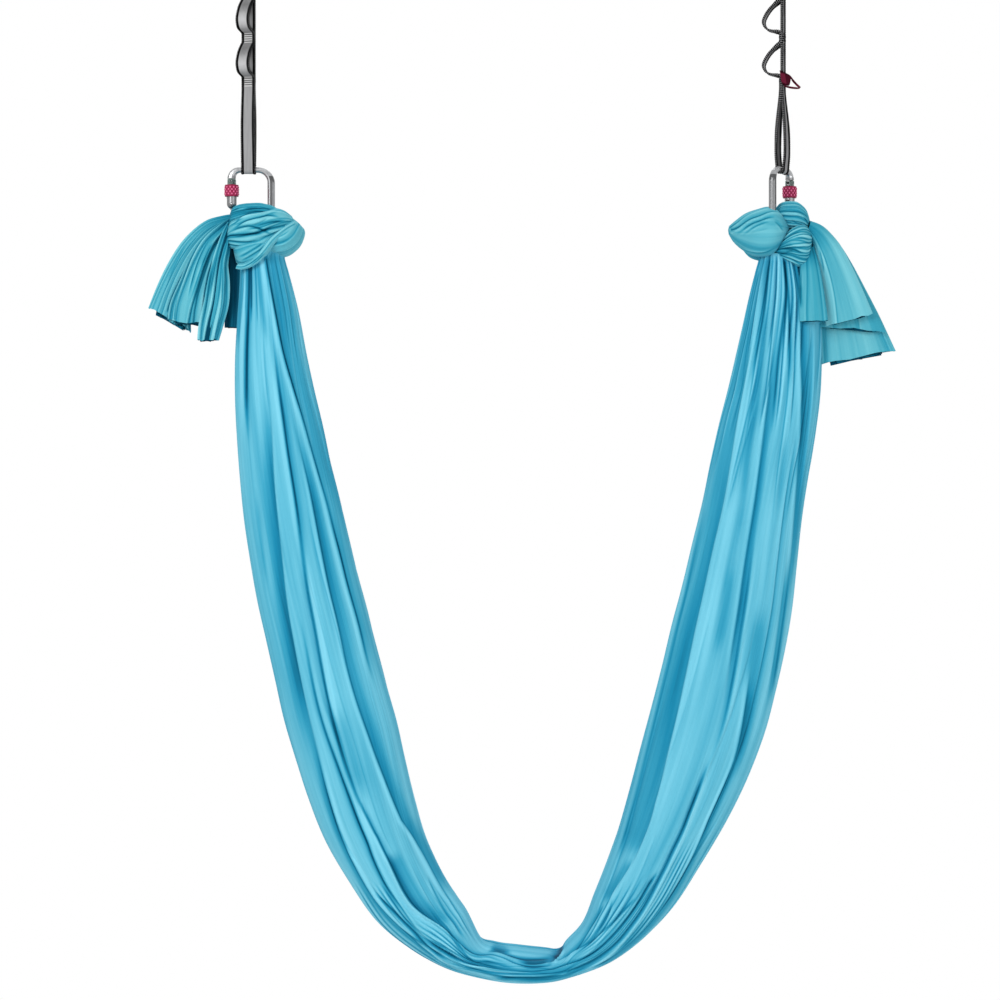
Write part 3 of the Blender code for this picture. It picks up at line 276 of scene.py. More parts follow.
# The seat's, where the folds of both arms meet round the hollow
SEAT_FOLDS = (
    (7, 1, 17, 0.58, 0.5, ((384, 850), (392, 867), (400, 884), (409, 899), (421, 909.5),
     (433, 916), (443, 924))),
    (3, 1, 4, 0.35, 0.95, ((346, 770), (351, 784), (360, 802), (367, 816), (374, 829), (380, 842),
     (388, 858), (395, 874), (402, 888), (411, 901), (422, 910), (433, 916), (441, 922),
     (449, 930), (458, 938.5), (466, 943), (475, 946.5), (485, 949.5), (495, 953.5), (504, 957.5),
     (512, 961.5), (520, 964), (530, 965.3), (542, 965.3), (554, 963.5))),
    (2, 1, 3, 0.3, 0.5, ((424, 868), (431, 885), (439, 899), (447, 912), (455, 925), (462, 935))),
    (2, 1, 8, 0.8, 0.3, ((480, 944.5), (490, 947), (498, 949.5), (508, 955))),
    (2, 1, 2, 0.3, 1, ((480, 944.5), (490, 947), (498, 949.5), (505, 953), (512, 956.3),
     (519, 957.8), (530, 958), (542, 957.8), (553, 956))),
    (3, 1, 6.5, 0.9, 0.6, ((510, 958), (520, 961), (530, 962), (540, 962), (549, 960.5),
     (557, 956))),
    (5, 1, 11, 1, 1, ((545, 965), (549, 962.5), (553, 959), (557, 955), (560, 951), (564, 944))),
    (4, 1, 4, 0.5, 0.95, ((552, 961), (560, 958.5), (567, 955), (574, 951), (580, 944.5),
     (585, 937.5), (590, 929), (595, 920), (600, 911), (605, 902))),
    (5, 1, 4, 0.6, 1, ((420, 937), (430, 942), (442, 948), (455, 955), (465, 959), (475, 962),
     (485, 965), (495, 967.5), (505, 968.7), (515, 969.2), (525, 969.3), (540, 969))),
    (4, 1, 3, 0.4, 1, ((520, 969.2), (535, 969.3), (545, 968.7), (555, 967), (565, 963.5),
     (575, 960), (585, 956.5), (595, 951), (605, 943.5), (612, 937), (620, 928), (628, 918),
     (636, 907), (642, 897), (648, 886), (654, 876), (662, 866))),
    (4, 1, 2.5, 0.4, 1, ((488, 975.5), (495, 977.3), (505, 978.5), (520, 978.3), (535, 978.2),
     (548, 977), (560, 975), (572, 971.5))),
    (5, 1, 4, 0.53, 1, ((712, 750), (702, 778), (693, 803), (686, 822), (680, 836), (674, 848),
     (668, 862), (662, 874), (656, 886), (650, 898), (642, 912), (634, 923), (626, 934),
     (618, 943), (610, 950), (600, 957.5), (590, 963.5), (580, 968), (570, 971.5), (560, 972.6),
     (552, 973))),
    (4, -1, 5, 0.5, 0.9, ((739, 745), (733, 765), (720, 795), (709, 820), (704, 832), (697, 848),
     (690, 864), (680, 882), (670, 898), (660, 911), (650, 924), (640, 934), (628, 945),
     (615, 955), (603, 962), (590, 967.5))),
    (3, 1, 3, 0.4, 1, ((370, 885), (377, 893), (387, 903), (397, 914), (405, 923), (413, 931),
     (420, 938), (430, 947), (440, 954), (450, 960))),
    (3, -1, 3, 0.3, 0.8, ((388, 914.5), (398, 926), (410, 938), (420, 946), (430, 953),
     (440, 959))),
    (2, 1, 3, 0.25, 0.7, ((640, 893), (628, 905), (618, 917), (608, 926), (598, 934.5),
     (588, 941.5), (578, 948.5), (566, 956))),
    (2, 1, 3, 0.25, 0.6, ((614, 894), (612, 906), (608, 916), (603, 924), (596, 932))),
    (2, 1, 2, 0.2, 0.6, ((421, 935), (432, 939), (445, 944.5), (455, 949), (467, 952), (480, 956),
     (490, 959.5), (500, 962.5), (512, 966))),
    (2, 1, 2, 0.2, 0.5, ((456, 951), (466, 954.5), (476, 957.5), (488, 961), (498, 964))),
    (1.5, 1, 2, 0.15, 0.4, ((480, 970), (500, 973.5), (520, 973.5), (542, 972.5), (556, 970))),
    (2, 1, 9, 0.5, 0.1, ((636, 853), (628, 868), (619, 882), (611, 894), (604, 905))),
)

# Gathers side by side: how many, their depth and width in millimetres, how dark the painted shade
# of the slope and of the line is, then the places that the first and the last one run through
SLING_SPREADS = (
    (10, 2.4, 3.2, 0.06, 0.6, ((760, 260), (750, 300), (741, 350)),
     ((799, 266), (802, 310), (800, 372))),
    (4, 2.2, 3.2, 0.06, 0.6, ((768, 262), (760, 330), (744, 430)),
     ((792, 262), (795, 340), (790, 440))),
    (4, 1.6, 3.2, 0.15, 0.6, ((243, 266), (240, 290), (238, 320)),
     ((254, 262), (256, 290), (258, 330))),
    (4, 1, 3.2, 0.05, 0.35, ((272, 260), (280, 310), (288, 360)),
     ((287, 260), (297, 310), (308, 380))),
)
SEAT_SPREADS = (
    (5, 1.6, 2.5, 0.04, 0.72, ((409, 905), (433, 920), (458, 942), (485, 953), (504, 961),
     (520, 967)),
     ((403, 924), (430, 941), (455, 954), (485, 964), (505, 968), (520, 968.6))),
    (5, 1.4, 2.5, 0.04, 0.66, ((430, 945), (460, 961), (495, 970), (530, 971.5), (565, 967),
     (600, 953)),
     ((440, 962), (470, 971), (500, 977), (530, 977), (565, 972), (600, 959))),
    (3, 1.4, 2.5, 0.04, 0.66, ((352, 866), (377, 905), (410, 941), (440, 961), (480, 975)),
     ((350, 874), (372, 911), (404, 945), (436, 965), (480, 978))),
    (4, 1.4, 2.5, 0.04, 0.66, ((600, 960), (628, 938), (650, 906), (670, 870), (690, 830)),
     ((600, 965), (628, 944), (655, 914), (676, 880), (700, 832))),
    (5, 1.6, 2.5, 0.04, 0.6, ((566, 961), (590, 949), (612, 931), (634, 903), (656, 864)),
     ((570, 954), (588, 938), (598, 922), (612, 895), (620, 878))),
    (4, 1.4, 2.5, 0.04, 0.72, ((560, 966), (600, 949), (620, 930), (640, 901), (662, 868)),
     ((560, 971), (600, 956), (620, 939), (644, 907), (666, 865))),
    (4, 1.4, 2.5, 0.04, 0.62, ((362, 870), (386, 905), (416, 936)),
     ((384, 880), (402, 908), (422, 934))),
    (3, 1.4, 2.5, 0.04, 0.45, ((425, 880), (438, 900), (452, 920), (464, 936)),
     ((434, 872), (447, 895), (460, 918), (472, 935))),
    (3, 1.2, 2.5, 0.1, 0.6, ((500, 981), (530, 981.6), (570, 977), (610, 959)),
     ((500, 979), (530, 979.5), (570, 974), (610, 955))),
)

# Bands of the knots: rows as in the sling's, then their gathers, those folds' depth and width in
# millimetres, fine folds, and how dark the painted shade of the band and of its folds is
LEFT_KNOT_BANDS = (
    (((238, 262, 238, 222, 24, 6), (244, 266, 240, 212, 26, 20), (256, 264, 254, 210, 24, 30),
      (272, 260, 268, 210, 22, 30), (288, 252, 280, 212, 16, 24), (297, 240, 290, 220, 10, 8)),
      14, 2, 5, 20, 0.2, 0.6),
    (((229, 224, 230, 214, 0, 6), (233, 226, 234, 208, -6, 20), (244, 225, 243, 204.5, -9, 26),
      (256, 222, 256, 204, -10, 28), (268, 222, 267, 205, -9, 27), (279, 224, 276, 208, -6, 20),
      (286, 226, 284, 216, 0, 8)), 34, 1.2, 1.8, 40, 0.25, 0.7),
    (((252, 256, 252, 238, 2, 8), (264, 258, 262, 232, 0, 22), (276, 258, 270, 227, -2, 28),
      (289, 256, 279, 223, -2, 30), (300, 247, 284, 220, 0, 26), (305, 234, 289, 216, 4, 18),
      (303, 226, 294, 219, 6, 6)), 5, 0.8, 6, 4, 0, 0.4),
    (((236, 262, 233, 246, -6, 6), (243, 268, 237, 244, -16, 16), (254, 267, 248, 240, -21, 20),
      (263, 262, 260, 238, -22, 20), (272, 253, 268, 236, -18, 16), (278, 243, 275, 236, -12, 6)),
      3, 0.5, 5, 4, 0.08, 0.4),
    (((226, 246, 227, 232, -8, 6), (232, 249, 231, 224, -14, 16), (242, 252, 238, 219, -20, 20),
      (255, 253, 247, 214, -24, 22), (267, 250, 259, 211, -23, 22), (278, 241, 272, 209, -18, 20),
      (289, 232, 284, 211, -12, 14), (297, 226, 293, 217, -6, 6)), 10, 0.8, 2, 26, 0.05, 0.65),
    (((236, 270, 240, 264, -24, 3), (246, 271, 247, 264, -28, 7), (258, 266, 256, 258, -32, 9),
      (268, 257, 264, 249, -33, 10), (277, 245, 272, 238, -29, 9), (288, 234, 284, 228, -22, 8),
      (298, 226, 294, 221, -12, 4)), 6, 0.9, 1.8, 5, 0.05, 0.65),
)
RIGHT_KNOT_BANDS = (
    (((742, 246, 742, 230, 22, 6), (752, 256, 752, 216, 24, 22), (766, 260, 766, 210, 24, 30),
      (782, 262, 782, 210, 24, 30), (796, 262, 798, 214, 20, 26), (806, 250, 807, 226, 14, 8)),
      14, 2, 5, 20, 0.2, 0.6),
    (((774, 222, 773, 212, -4, 8), (780, 226, 779, 205, -8, 18), (787, 229, 787, 203, -10, 25),
      (796, 230, 797, 204, -10, 27), (804, 231, 805, 211, -8, 22), (809, 232, 810, 224, -4, 6)),
      28, 1.1, 1.6, 14, 0.1, 0.7),
    (((770, 255, 771, 249, -14, 5), (779, 259, 780, 240, -19, 16), (788, 264, 789, 231, -21, 26),
      (798, 269, 799, 226, -19, 29), (806, 267, 807, 228, -13, 25), (812, 250, 812, 236, -6, 6)),
      44, 1.2, 1.5, 14, 0.05, 0.85),
    (((728, 233, 728, 227, 0, 5), (733, 242, 735, 221, -4, 16), (741, 250, 745, 214, -9, 24),
      (751, 256, 757, 210, -14, 30), (762, 258, 767, 208, -17, 32), (772, 255, 776, 211, -17, 30),
      (781, 247, 783, 218, -13, 24), (789, 236, 789, 226, -8, 8)), 2, 0.4, 8, 2, 0.14, 0.3),
)
# Folds of each knot's front band: as the sling's
RIGHT_KNOT_FOLDS = {
    3: (
        (2.2, 1, 3, 0.28, 0.85, ((731, 230), (746, 220), (760, 214), (774, 213), (783, 220))),
        (2, 1, 3, 0.28, 0.77, ((735, 234), (748, 224), (761, 219), (772, 218))),
        (1.4, 1, 3, 0.21, 0.51, ((741, 236), (750, 228), (760, 223), (767, 223))),
        (1.6, 1, 3, 0.21, 0.77, ((731, 227), (742, 217), (755, 211), (766, 209))),
        (1.4, -1, 3, 0.21, 0.68, ((738, 248), (750, 253), (764, 254), (776, 248))),
        (1.2, 1, 5, 0.21, 0.42, ((770, 222), (777, 226), (782, 234))),
    ),
}
LEFT_KNOT_FOLDS = {
    3: (
        (1.2, -1, 4, 0.21, 0.59, ((240, 262), (250, 259), (262, 252), (270, 244))),
        (1.2, -1, 3, 0.21, 0.59, ((238, 258), (248, 255), (258, 249), (266, 242))),
    ),
    4: (
        (1.6, -1, 2, 0.21, 0.77, ((228, 242), (238, 243), (250, 244), (262, 241))),
        (2, 1, 2.5, 0.28, 0.85, ((228, 238), (242, 236), (256, 235), (270, 232))),
        (2.2, 1, 2.5, 0.28, 0.85, ((229, 233), (243, 228), (256, 227), (272, 233), (279, 236))),
        (1.6, -1, 2, 0.21, 0.77, ((228, 244), (238, 247), (248, 248), (258, 247))),
        (2, 1, 2, 0.28, 0.85, ((230, 228), (240, 221), (250, 215), (262, 212))),
        (1.6, 1, 2, 0.21, 0.85, ((232, 231), (244, 224), (258, 219), (272, 216), (284, 219))),
        (1.6, 1, 2, 0.21, 0.77, ((252, 228), (264, 225), (278, 222), (290, 222))),
        (1.6, 1, 2, 0.21, 0.77, ((256, 233), (268, 231), (280, 228), (292, 225))),
        (1.6, -1, 3, 0.28, 0.77, ((262, 240), (272, 237), (282, 232), (292, 227))),
    ),
}

# Bands of the tails, root to hem: as the knots', with inner runs and the hem's unevenness in
# millimetres after the fine folds
LEFT_TAIL_BANDS = (
    # This band lies in shadow behind the others and is painted dark all over
    (((244, 236, 226, 236, 10, 10), (245, 268, 225, 268, 10, 10), (244, 300, 224, 300, 10, 10),
      (243, 327, 224, 327, 10, 10)), 5, 1.5, 4, 5, 16, 1, 1, 1),
    (((232, 214, 230, 232, 8, 12), (221, 216, 224, 240, 8, 14), (207, 220, 218, 252, 8, 14),
      (194, 229, 212, 266, 8, 13), (181, 243, 204, 284, 8, 12), (169, 262, 196, 303, 8, 11),
      (158, 284, 192, 318, 8, 10), (148, 307, 192, 333, 8, 9)), 20, 3, 5, 14, 26, 4, 0.05, 0.7),
    (((230, 216, 231, 236, -4, 9), (220, 222, 230, 246, -5, 12), (203, 236, 226, 258, -6, 13),
      (190, 256, 222, 274, -6, 13), (179, 281, 220, 292, -6, 12), (170, 303, 219, 312, -5, 11),
      (167, 320, 218, 326, -5, 9)), 18, 3.4, 5, 14, 30, 3, 0, 0.8),
    (((229, 222, 232, 238, -16, 7), (221, 238, 231, 252, -17, 10), (214, 258, 229, 266, -17, 11),
      (208, 280, 230, 284, -16, 11), (203, 304, 229, 305, -15, 10), (199, 325, 224, 324, -14, 9),
      (198, 341, 219, 340, -13, 8)), 14, 3, 4.5, 12, 22, 2, 0, 0.85),
)
RIGHT_TAIL_BANDS = (
    # This band, the inner layer, lies in shade and is painted darker
    (((800, 252, 812, 248, -24, 8), (797, 275, 818, 270, -30, 8), (796, 298, 822, 294, -34, 7),
      (796, 323, 825, 322, -37, 6)), 4, 1.2, 4, 8, 14, 1, 0.3, 0.9),
    (((806, 236, 809, 221, 0, 14), (808, 246, 824, 227, 1, 13), (809, 258, 839, 243, 2, 12),
      (811, 275, 852, 263, 3, 11), (813, 296, 866, 289, 4, 10), (815, 318, 879, 314, 4, 9),
      (816, 342, 889, 335, 4, 8), (817, 366, 896, 350, 4, 7)), 4, 1.8, 9, 10, 30, 2.5, 0.1, 0.4),
    (((808, 236, 811, 224, -9, 10), (810, 262, 838, 244, -10, 10), (810, 290, 861, 285, -10, 9),
      (808, 312, 876, 314, -9, 8), (806, 325, 885, 333, -8, 7)), 4, 1.2, 7, 8, 12, 2, 0.25, 0.6),
    (((806, 234, 809, 222, -16, 10), (811, 246, 822, 228, -18, 10), (813, 258, 837, 244, -20, 9),
      (817, 276, 848, 263, -21, 8), (821, 300, 860, 289, -22, 7), (824, 327, 871, 315, -22, 6)),
      3, 1, 8, 6, 14, 1.2, 0, 0.5),
)

# Cloth
SLING_STATIONS = 276
SLING_SIDES = 298
SLING_SEAT = (0.37, 0.65, 0.52)  # share of the run that the seat spans, and of the stations there
# How much painted shade the seat loses, so that it is paler
SEAT_PALER = 0.08
SEAT_RUN = (0.34, 0.42, 0.58, 0.66)  # shares of the run where the paler seat starts and ends
INNER_RUNS = 30
KNOT_STATIONS = 70
KNOT_SIDES = 220
KNOT_PRESS = 1.2  # how much deeper the knots' gathers are pressed than their bands say
KNOT_TINT = (1.1, 1.0, 0.9)
TAIL_STATIONS = 60
TAIL_SIDES = 220
TAIL_ROOT = (0.35, 0.4)  # share of the run that the knot shades, and how dark its root is
HEM_TURNS = 14
FRONT_SHARE = 0.68  # of a section's points, on the half that faces the viewer
PRESS_LIMIT = 0.5  # deepest that folds press in, as a share of the section's half
EDGE_MARGIN = 0.05  # angles that folds keep from the cloth's two edges: all, random and back ones
RANDOM_MARGIN = 0.1
BACK_MARGIN = 0.06
# A fold's section: its sharp edge, the lip beyond it in widths of the edge, the powers that its
# relief and its painted shade fade with down the slope, and the painted highlight on its crest in
# widths of the dark line
FOLD_EDGE = 1.2 * MM
LIP_RISE, LIP_PLACE, LIP_WIDTH = 0.4, 2.6, 1.9
SLOPE_POWER, SHADE_POWER = 1.3, 2.6
CREST_PLACE, CREST_WIDTH = 2.4, 1.2
SPREAD_LINE = 1.1 * MM  # the dark line's width in folds side by side, and in fine ones
FINE_LINE = 1 * MM
BACK_FOLDS = 16
# Fine folds: the least and most depth and width
FINE_SIZES = {
    "sling": ((0.5 * MM, 1.5 * MM), (3 * MM, 7 * MM)),
    "knot": ((0.5 * MM, 1.4 * MM), (1.5 * MM, 4 * MM)),
    "tail": ((0.5 * MM, 1.4 * MM), (2 * MM, 5 * MM)),
}
# The sling's fine folds: how many, the least and most share of the run that one takes, where on
# the run they start and end, how dark their painted shade is, and how far round they drift
SLING_FINE = (
    (34, (0.08, 0.3), 0.0, 1.0, 0.4, 0.3), (26, (0.1, 0.24), 0.3, 0.72, 0.5, 0.2),
    (16, (0.04, 0.1), 0.0, 0.12, 0.3, 0.3), (50, (0.04, 0.1), 0.88, 1.0, 0.6, 0.3),
)
# Painted light on the cloth: the crests' painted highlight, and the ramp's stops from it through
# the cloth to the painted shade in creases
CREST_HIGHLIGHT = 0.3  # how far below 0 the fold values of the crests go
CLOTH_STOPS = (0.0, 0.24, 0.46, 0.7, 1.0)
CLOTH_RIBS = 1.1 * MM
CLOTH_COURSES = 1.3 * MM
SLING_SEED = 11
KNOT_SEEDS = {"left": 5, "right": 6}
TAIL_SEEDS = {"left": 8, "right": 9}


# Sizes and colours that a user would change

def length_of(name, description, default):
    return bpy.props.FloatProperty(
        name=name, description=description, default=default, unit="LENGTH")


def colour_of(name, description, default):
    return bpy.props.FloatVectorProperty(
        name=name, description=description, default=default, subtype="COLOR", size=3, min=0, max=1)


class HammockSizes(bpy.types.PropertyGroup):
    cloth_width: length_of("Cloth width", "Width of the cloth before it is gathered", 2.8)
    sling_length: length_of("Sling length", "Length of cloth between the two knots", 2.42)
    webbing_width: length_of("Webbing width", "Width of the straps' webbing", 20 * MM)
    webbing_thickness: length_of("Webbing thickness", "Thickness of the straps' webbing", 1.6 * MM)


class HammockColours(bpy.types.PropertyGroup):
    # Turquoise of the cloth, with its painted highlight on crests and its painted shade on slopes,
    # in folds and in creases
    cloth_crest_highlight: colour_of(
        "Cloth on crests", "Palest turquoise, along the crests of the folds", (0.22, 0.65, 0.82))
    cloth: colour_of("Cloth", "Turquoise of the cloth's lit faces", (0.125, 0.50, 0.665))
    cloth_shade: colour_of(
        "Cloth in slopes", "Blue of the cloth on the folds' slopes", (0.045, 0.36, 0.535))
    cloth_fold_shade: colour_of(
        "Cloth in folds", "Deeper blue of the cloth inside its folds", (0.012, 0.25, 0.42))
    cloth_crease_shade: colour_of(
        "Cloth in creases", "Darkest blue, where two folds meet", (0.0, 0.052, 0.11))
    webbing: colour_of("Webbing", "Grey of the straps' woven middle", (0.29, 0.29, 0.295))
    selvedge: colour_of(
        "Webbing edge", "Black of the straps' corded edges and stitches", (0.006, 0.006, 0.0065))
    tab: colour_of("Tab", "Maroon of the small folded tab", (0.13, 0.012, 0.032))
    steel: colour_of("Steel", "Polished metal of the carabiners", (0.37, 0.375, 0.385))
    sleeve: colour_of("Sleeve", "Crimson of the locking sleeves", (0.27, 0.004, 0.05))
    sleeve_worn: colour_of(
        "Sleeve bumps", "Pale pink of the sleeves' rubbed bumps", (0.93, 0.17, 0.36))


def scaled(colour, share):
    return tuple(c * share for c in colour)


# Shader maths

def maths(operation, turned=False):
    """A method that adds a Math node for the wire and the other value, or turned round."""
    def method(self, *others):
        values = (*others, self) if turned else (self, *others)
        return self.owner.node("Math", {"operation": operation}, dict(enumerate(values)))
    return method


class Wire:
    """An output socket of a node tree, on which Python's operators add Math nodes."""

    def __init__(self, owner, socket):
        self.owner = owner
        self.socket = socket

    __add__, __radd__ = maths("ADD"), maths("ADD", turned=True)
    __sub__, __rsub__ = maths("SUBTRACT"), maths("SUBTRACT", turned=True)
    __mul__, __rmul__ = maths("MULTIPLY"), maths("MULTIPLY", turned=True)
    __truediv__, __pow__ = maths("DIVIDE"), maths("POWER")
    __gt__, __lt__ = maths("GREATER_THAN"), maths("LESS_THAN")
    wave, size, fraction = maths("SINE"), maths("ABSOLUTE"), maths("FRACT")
    at_least, at_most = maths("MAXIMUM"), maths("MINIMUM")

    def clamped(self):
        return self.at_least(0.0).at_most(1.0)


class Nodes:
    """A node tree, and the one method that adds nodes to it."""

    def __init__(self, tree):
        self.tree = tree

    def node(self, kind, settings=(), inputs=(), output=0):
        made = self.tree.nodes.new("ShaderNode" + kind)
        for name, value in dict(settings).items():
            if name == "stops":
                ramp = made.color_ramp
                while len(ramp.elements) < len(value):
                    ramp.elements.new(0.5)
                for stop, (place, colour) in zip(ramp.elements, value):
                    stop.position = place
                    stop.color = (*colour, 1)
            else:
                setattr(made, name, value)
        for key, value in dict(inputs).items():
            if isinstance(value, Wire):
                self.tree.links.new(value.socket, made.inputs[key])
            else:
                made.inputs[key].default_value = value
        return Wire(self, made.outputs[output])


class Finish(Nodes):
    """A material with its Principled shader, and the nodes that feed it."""

    def __init__(self, name, **constants):
        self.material = bpy.data.materials.new(name)
        self.material.use_nodes = True
        super().__init__(self.material.node_tree)
        self.shader = self.tree.nodes["Principled BSDF"]
        for socket, value in constants.items():
            self.socket(socket).default_value = value

    def socket(self, name):
        return self.shader.inputs[name.replace("_", " ").title().replace("Ior", "IOR")]

    def mix(self, factor, first, second):
        ends = (end if isinstance(end, Wire) else (*end, 1) for end in (first, second))
        return self.node("Mix", {"data_type": "RGBA"}, {0: factor, **dict(zip((6, 7), ends))}, 2)

    def attribute(self, name):
        return self.node("Attribute", {"attribute_name": name}, output="Fac")

    def place(self, source="Object"):
        return self.node("TexCoord", output=source)

    def stretched(self, source, scale):
        return self.node("Mapping", {}, {"Vector": source, "Scale": scale})

    def noise(self, vector, scale, detail=2.0):
        return self.node("TexNoise", {}, {"Vector": vector, "Scale": scale, "Detail": detail})

    def split(self, vector):
        return [self.node("SeparateXYZ", {}, {0: vector}, k) for k in range(3)]

    def bump(self, height, strength, distance, below=None):
        inputs = {"Height": height, "Strength": strength, "Distance": distance}
        if below:
            inputs["Normal"] = below
        return self.node("Bump", {}, inputs)

    def feed(self, **wires):
        for socket, wire in wires.items():
            self.tree.links.new(wire.socket, self.socket(socket))
        return self.material


# Shapes

def front(column, row):
    """X and Z of a place on the front view's grid."""
    return (column - GRID_MIDDLE) * GRID_STEP, -(row + GRID_TOP) * GRID_STEP


def eased(table, places):
    """Rows of a table at fractional row numbers, on a smooth run through its rows."""
    table = np.asarray(table, float)
    last = len(table) - 1
    base = np.clip(np.asarray(places).astype(int), 0, last - 1)
    share = (places - base)[:, None]
    a, b, c, d = (table[np.clip(base + k, 0, last)] for k in (-1, 0, 1, 2))
    return (
        b + share * (c - a) / 2 + share ** 2 * (a - 2.5 * b + 2 * c - d / 2)
        + share ** 3 * (1.5 * (b - c) + (d - a) / 2)
    )


def rise(low, high, values):
    """A smooth step from 0 at low to 1 at high."""
    t = np.clip((values - low) / (high - low), 0, 1)
    return t * t * (3 - 2 * t)


def heading(line):
    """Unit vectors along a line of points."""
    flow = np.gradient(line, axis=0)
    return flow / np.linalg.norm(flow, axis=1, keepdims=True)


def running(points):
    """Length so far along a line of points, or along each row of a grid of points."""
    run = np.cumsum(np.linalg.norm(np.diff(points, axis=-2), axis=-1), axis=-1)
    return np.concatenate([np.zeros_like(run[..., :1]), run], axis=-1)


def averaged(values, reach, **ends):
    """Values averaged over their neighbours up to a reach either way."""
    kernel = np.ones(2 * reach + 1) / (2 * reach + 1)
    return np.convolve(np.pad(values, reach, **ends), kernel, mode="valid")


def line_width(line, bold=1.0):
    """Width of the dark line in a fold, which grows with how deep its blue is."""
    return (1.0 + 0.9 * line) * bold * MM


class Bundle:
    """A gathered length of cloth: an oval section that follows rows of the front view."""

    def __init__(self, rows, stations, sides, tone=0.0, dense=None):
        table = np.array([
            (*front(*row[0:2]), *front(*row[2:4]), row[4] * MM, row[5] * MM) for row in rows])
        steps = np.linspace(0, len(table) - 1, 60 * len(table))  # fine enough to measure by
        fine = eased(table, steps)
        run = running((fine[:, 0:2] + fine[:, 2:4]) / 2)
        self.length = run[-1]
        self.run = np.linspace(0, run[-1], stations)
        if dense:
            low, high, share = dense
            spare = (1 - share) / (1 - high + low)
            self.run = run[-1] * np.interp(
                np.linspace(0, 1, stations), [0, low * spare, low * spare + share, 1],
                [0, low, high, 1])
        data = eased(table, np.interp(self.run, run, steps))
        self.middle = (data[:, 0:2] + data[:, 2:4]) / 2
        self.flow = heading(self.middle)
        across = data[:, 2:4] - data[:, 0:2]
        self.seen = np.hypot(*across.T) / 2  # half width as the view shows it
        self.across = across / (2 * self.seen[:, None])
        self.y = data[:, 4]
        self.depth = data[:, 5]
        away = self.middle - np.array([CAMERA_X, CAMERA_Z])
        lean = -(away * self.across).sum(1) / VIEW_DISTANCE * self.depth
        self.half = np.sqrt(np.maximum(self.seen ** 2 - lean ** 2, (0.3 * self.seen) ** 2))
        self.tilt = np.arctan2(lean, self.half)
        shares = [0, 0.5 - FRONT_SHARE / 2, 0.5 + FRONT_SHARE / 2, 1]
        self.angle = np.interp(np.linspace(0, 1, sides), shares, [pi / 2, pi, tau, 2.5 * pi])
        self.base = self.oval()
        self.around = running(self.base)
        turned = self.angle[None, :] - self.tilt[:, None]
        flat = np.cos(turned)
        flat = np.where(turned > tau, 2 - flat, np.where(turned < pi, -2 - flat, flat))
        self.viewed = flat * self.seen[:, None]  # across, as the front view shows it
        self.relief = np.zeros((stations, sides))
        # Painted shade of the band from its tone, and the painted highlight on the crests of its
        # folds
        self.shade = np.full((stations, sides), float(tone))
        self.crest_highlight = np.zeros((stations, sides))

    def oval(self):
        """Points of the plain surface: the section at each station."""
        flat = self.half[:, None] * np.cos(self.angle)[None, :]
        x = self.middle[:, None, 0] + self.across[:, None, 0] * flat
        z = self.middle[:, None, 1] + self.across[:, None, 1] * flat
        y = self.y[:, None] + self.depth[:, None] * np.sin(self.angle)[None, :]
        return np.stack([x, y, z], axis=2)

    def outwards(self):
        """Unit vectors square to the plain surface."""
        flat = np.cos(self.angle)[None, :] * self.depth[:, None]
        deep = np.sin(self.angle)[None, :] * self.half[:, None]
        x, z = self.across[:, None, 0] * flat, self.across[:, None, 1] * flat
        vectors = np.stack([x, np.broadcast_to(deep, flat.shape), z], axis=2)
        return vectors / np.linalg.norm(vectors, axis=2, keepdims=True)

    def within(self, angle, margin=EDGE_MARGIN):
        """Angles kept away from the cloth's two edges."""
        return np.clip(angle, self.angle[0] + margin, self.angle[-1] - margin)

    def locate(self, places, soften=6):
        """Where the run of a fold's places falls: station numbers, and the angle at each."""
        along, shares = [], []
        for place in places:
            away = np.array(front(*place)) - self.middle
            off = np.abs((away * self.flow).sum(1)) + 0.15 * np.hypot(*away.T)
            i = int(np.argmin(off))
            along.append(i)
            shares.append(np.clip((away[i] * self.across[i]).sum() / self.seen[i], -0.99, 0.99))
        order = np.argsort(along)
        along, shares = np.array(along)[order], np.array(shares)[order]
        i = np.arange(along[0], along[-1] + 1)
        soft = averaged(np.interp(i, along, shares), soften, mode="edge")
        return i, tau + self.tilt[i] - np.arccos(soft)

    def fold(self, i, angle, depth, side, width, slope, line, thick, fade=12, viewed=False):
        """Press one fold into the relief along stations i at the given angles, and paint shade
        along it.

        A fold with a side has a lip and a sharp edge there, with a painted highlight on its crest,
        and slopes away on the other side.
        """
        gauge = self.viewed if viewed else self.around
        if viewed:  # shallower where the surface turns away, so that no fold hides another
            depth = depth * np.maximum(np.sin(angle - self.tilt[i]) ** 2, 0.15)[:, None]
        place = np.array([np.interp(a, self.angle, gauge[k]) for k, a in zip(i, angle)])
        d = gauge[i] - place[:, None]
        order = np.arange(len(i))
        reach = min(fade, max(len(i) // 3, 2))
        grip = np.ones(len(i))  # eases in and out, but not at the bundle's own ends
        if i[0] > 3:
            grip = grip * rise(0, reach, order)
        if i[-1] < len(self.run) - 4:
            grip = grip * rise(0, reach, order[::-1])
        grip = grip[:, None]
        if side:
            d = d * side
            edge = np.exp(-(d / FOLD_EDGE) ** 2)
            press = np.where(d < 0, edge, np.exp(-np.abs(d / width) ** SLOPE_POWER))
            flank = np.where(d < 0, edge, np.exp(-np.abs(d / width) ** SHADE_POWER))
            lip = np.exp(-((d + LIP_PLACE * FOLD_EDGE) / (LIP_WIDTH * FOLD_EDGE)) ** 2)
            crest_highlight = np.exp(-((d + CREST_PLACE * thick) / (CREST_WIDTH * thick)) ** 2)
            self.relief[i] += grip * depth * (LIP_RISE * lip - press)
            self.crest_highlight[i] += grip * line * crest_highlight
        else:
            flank = np.exp(-(d / width) ** 2)
            self.relief[i] -= grip * depth * flank
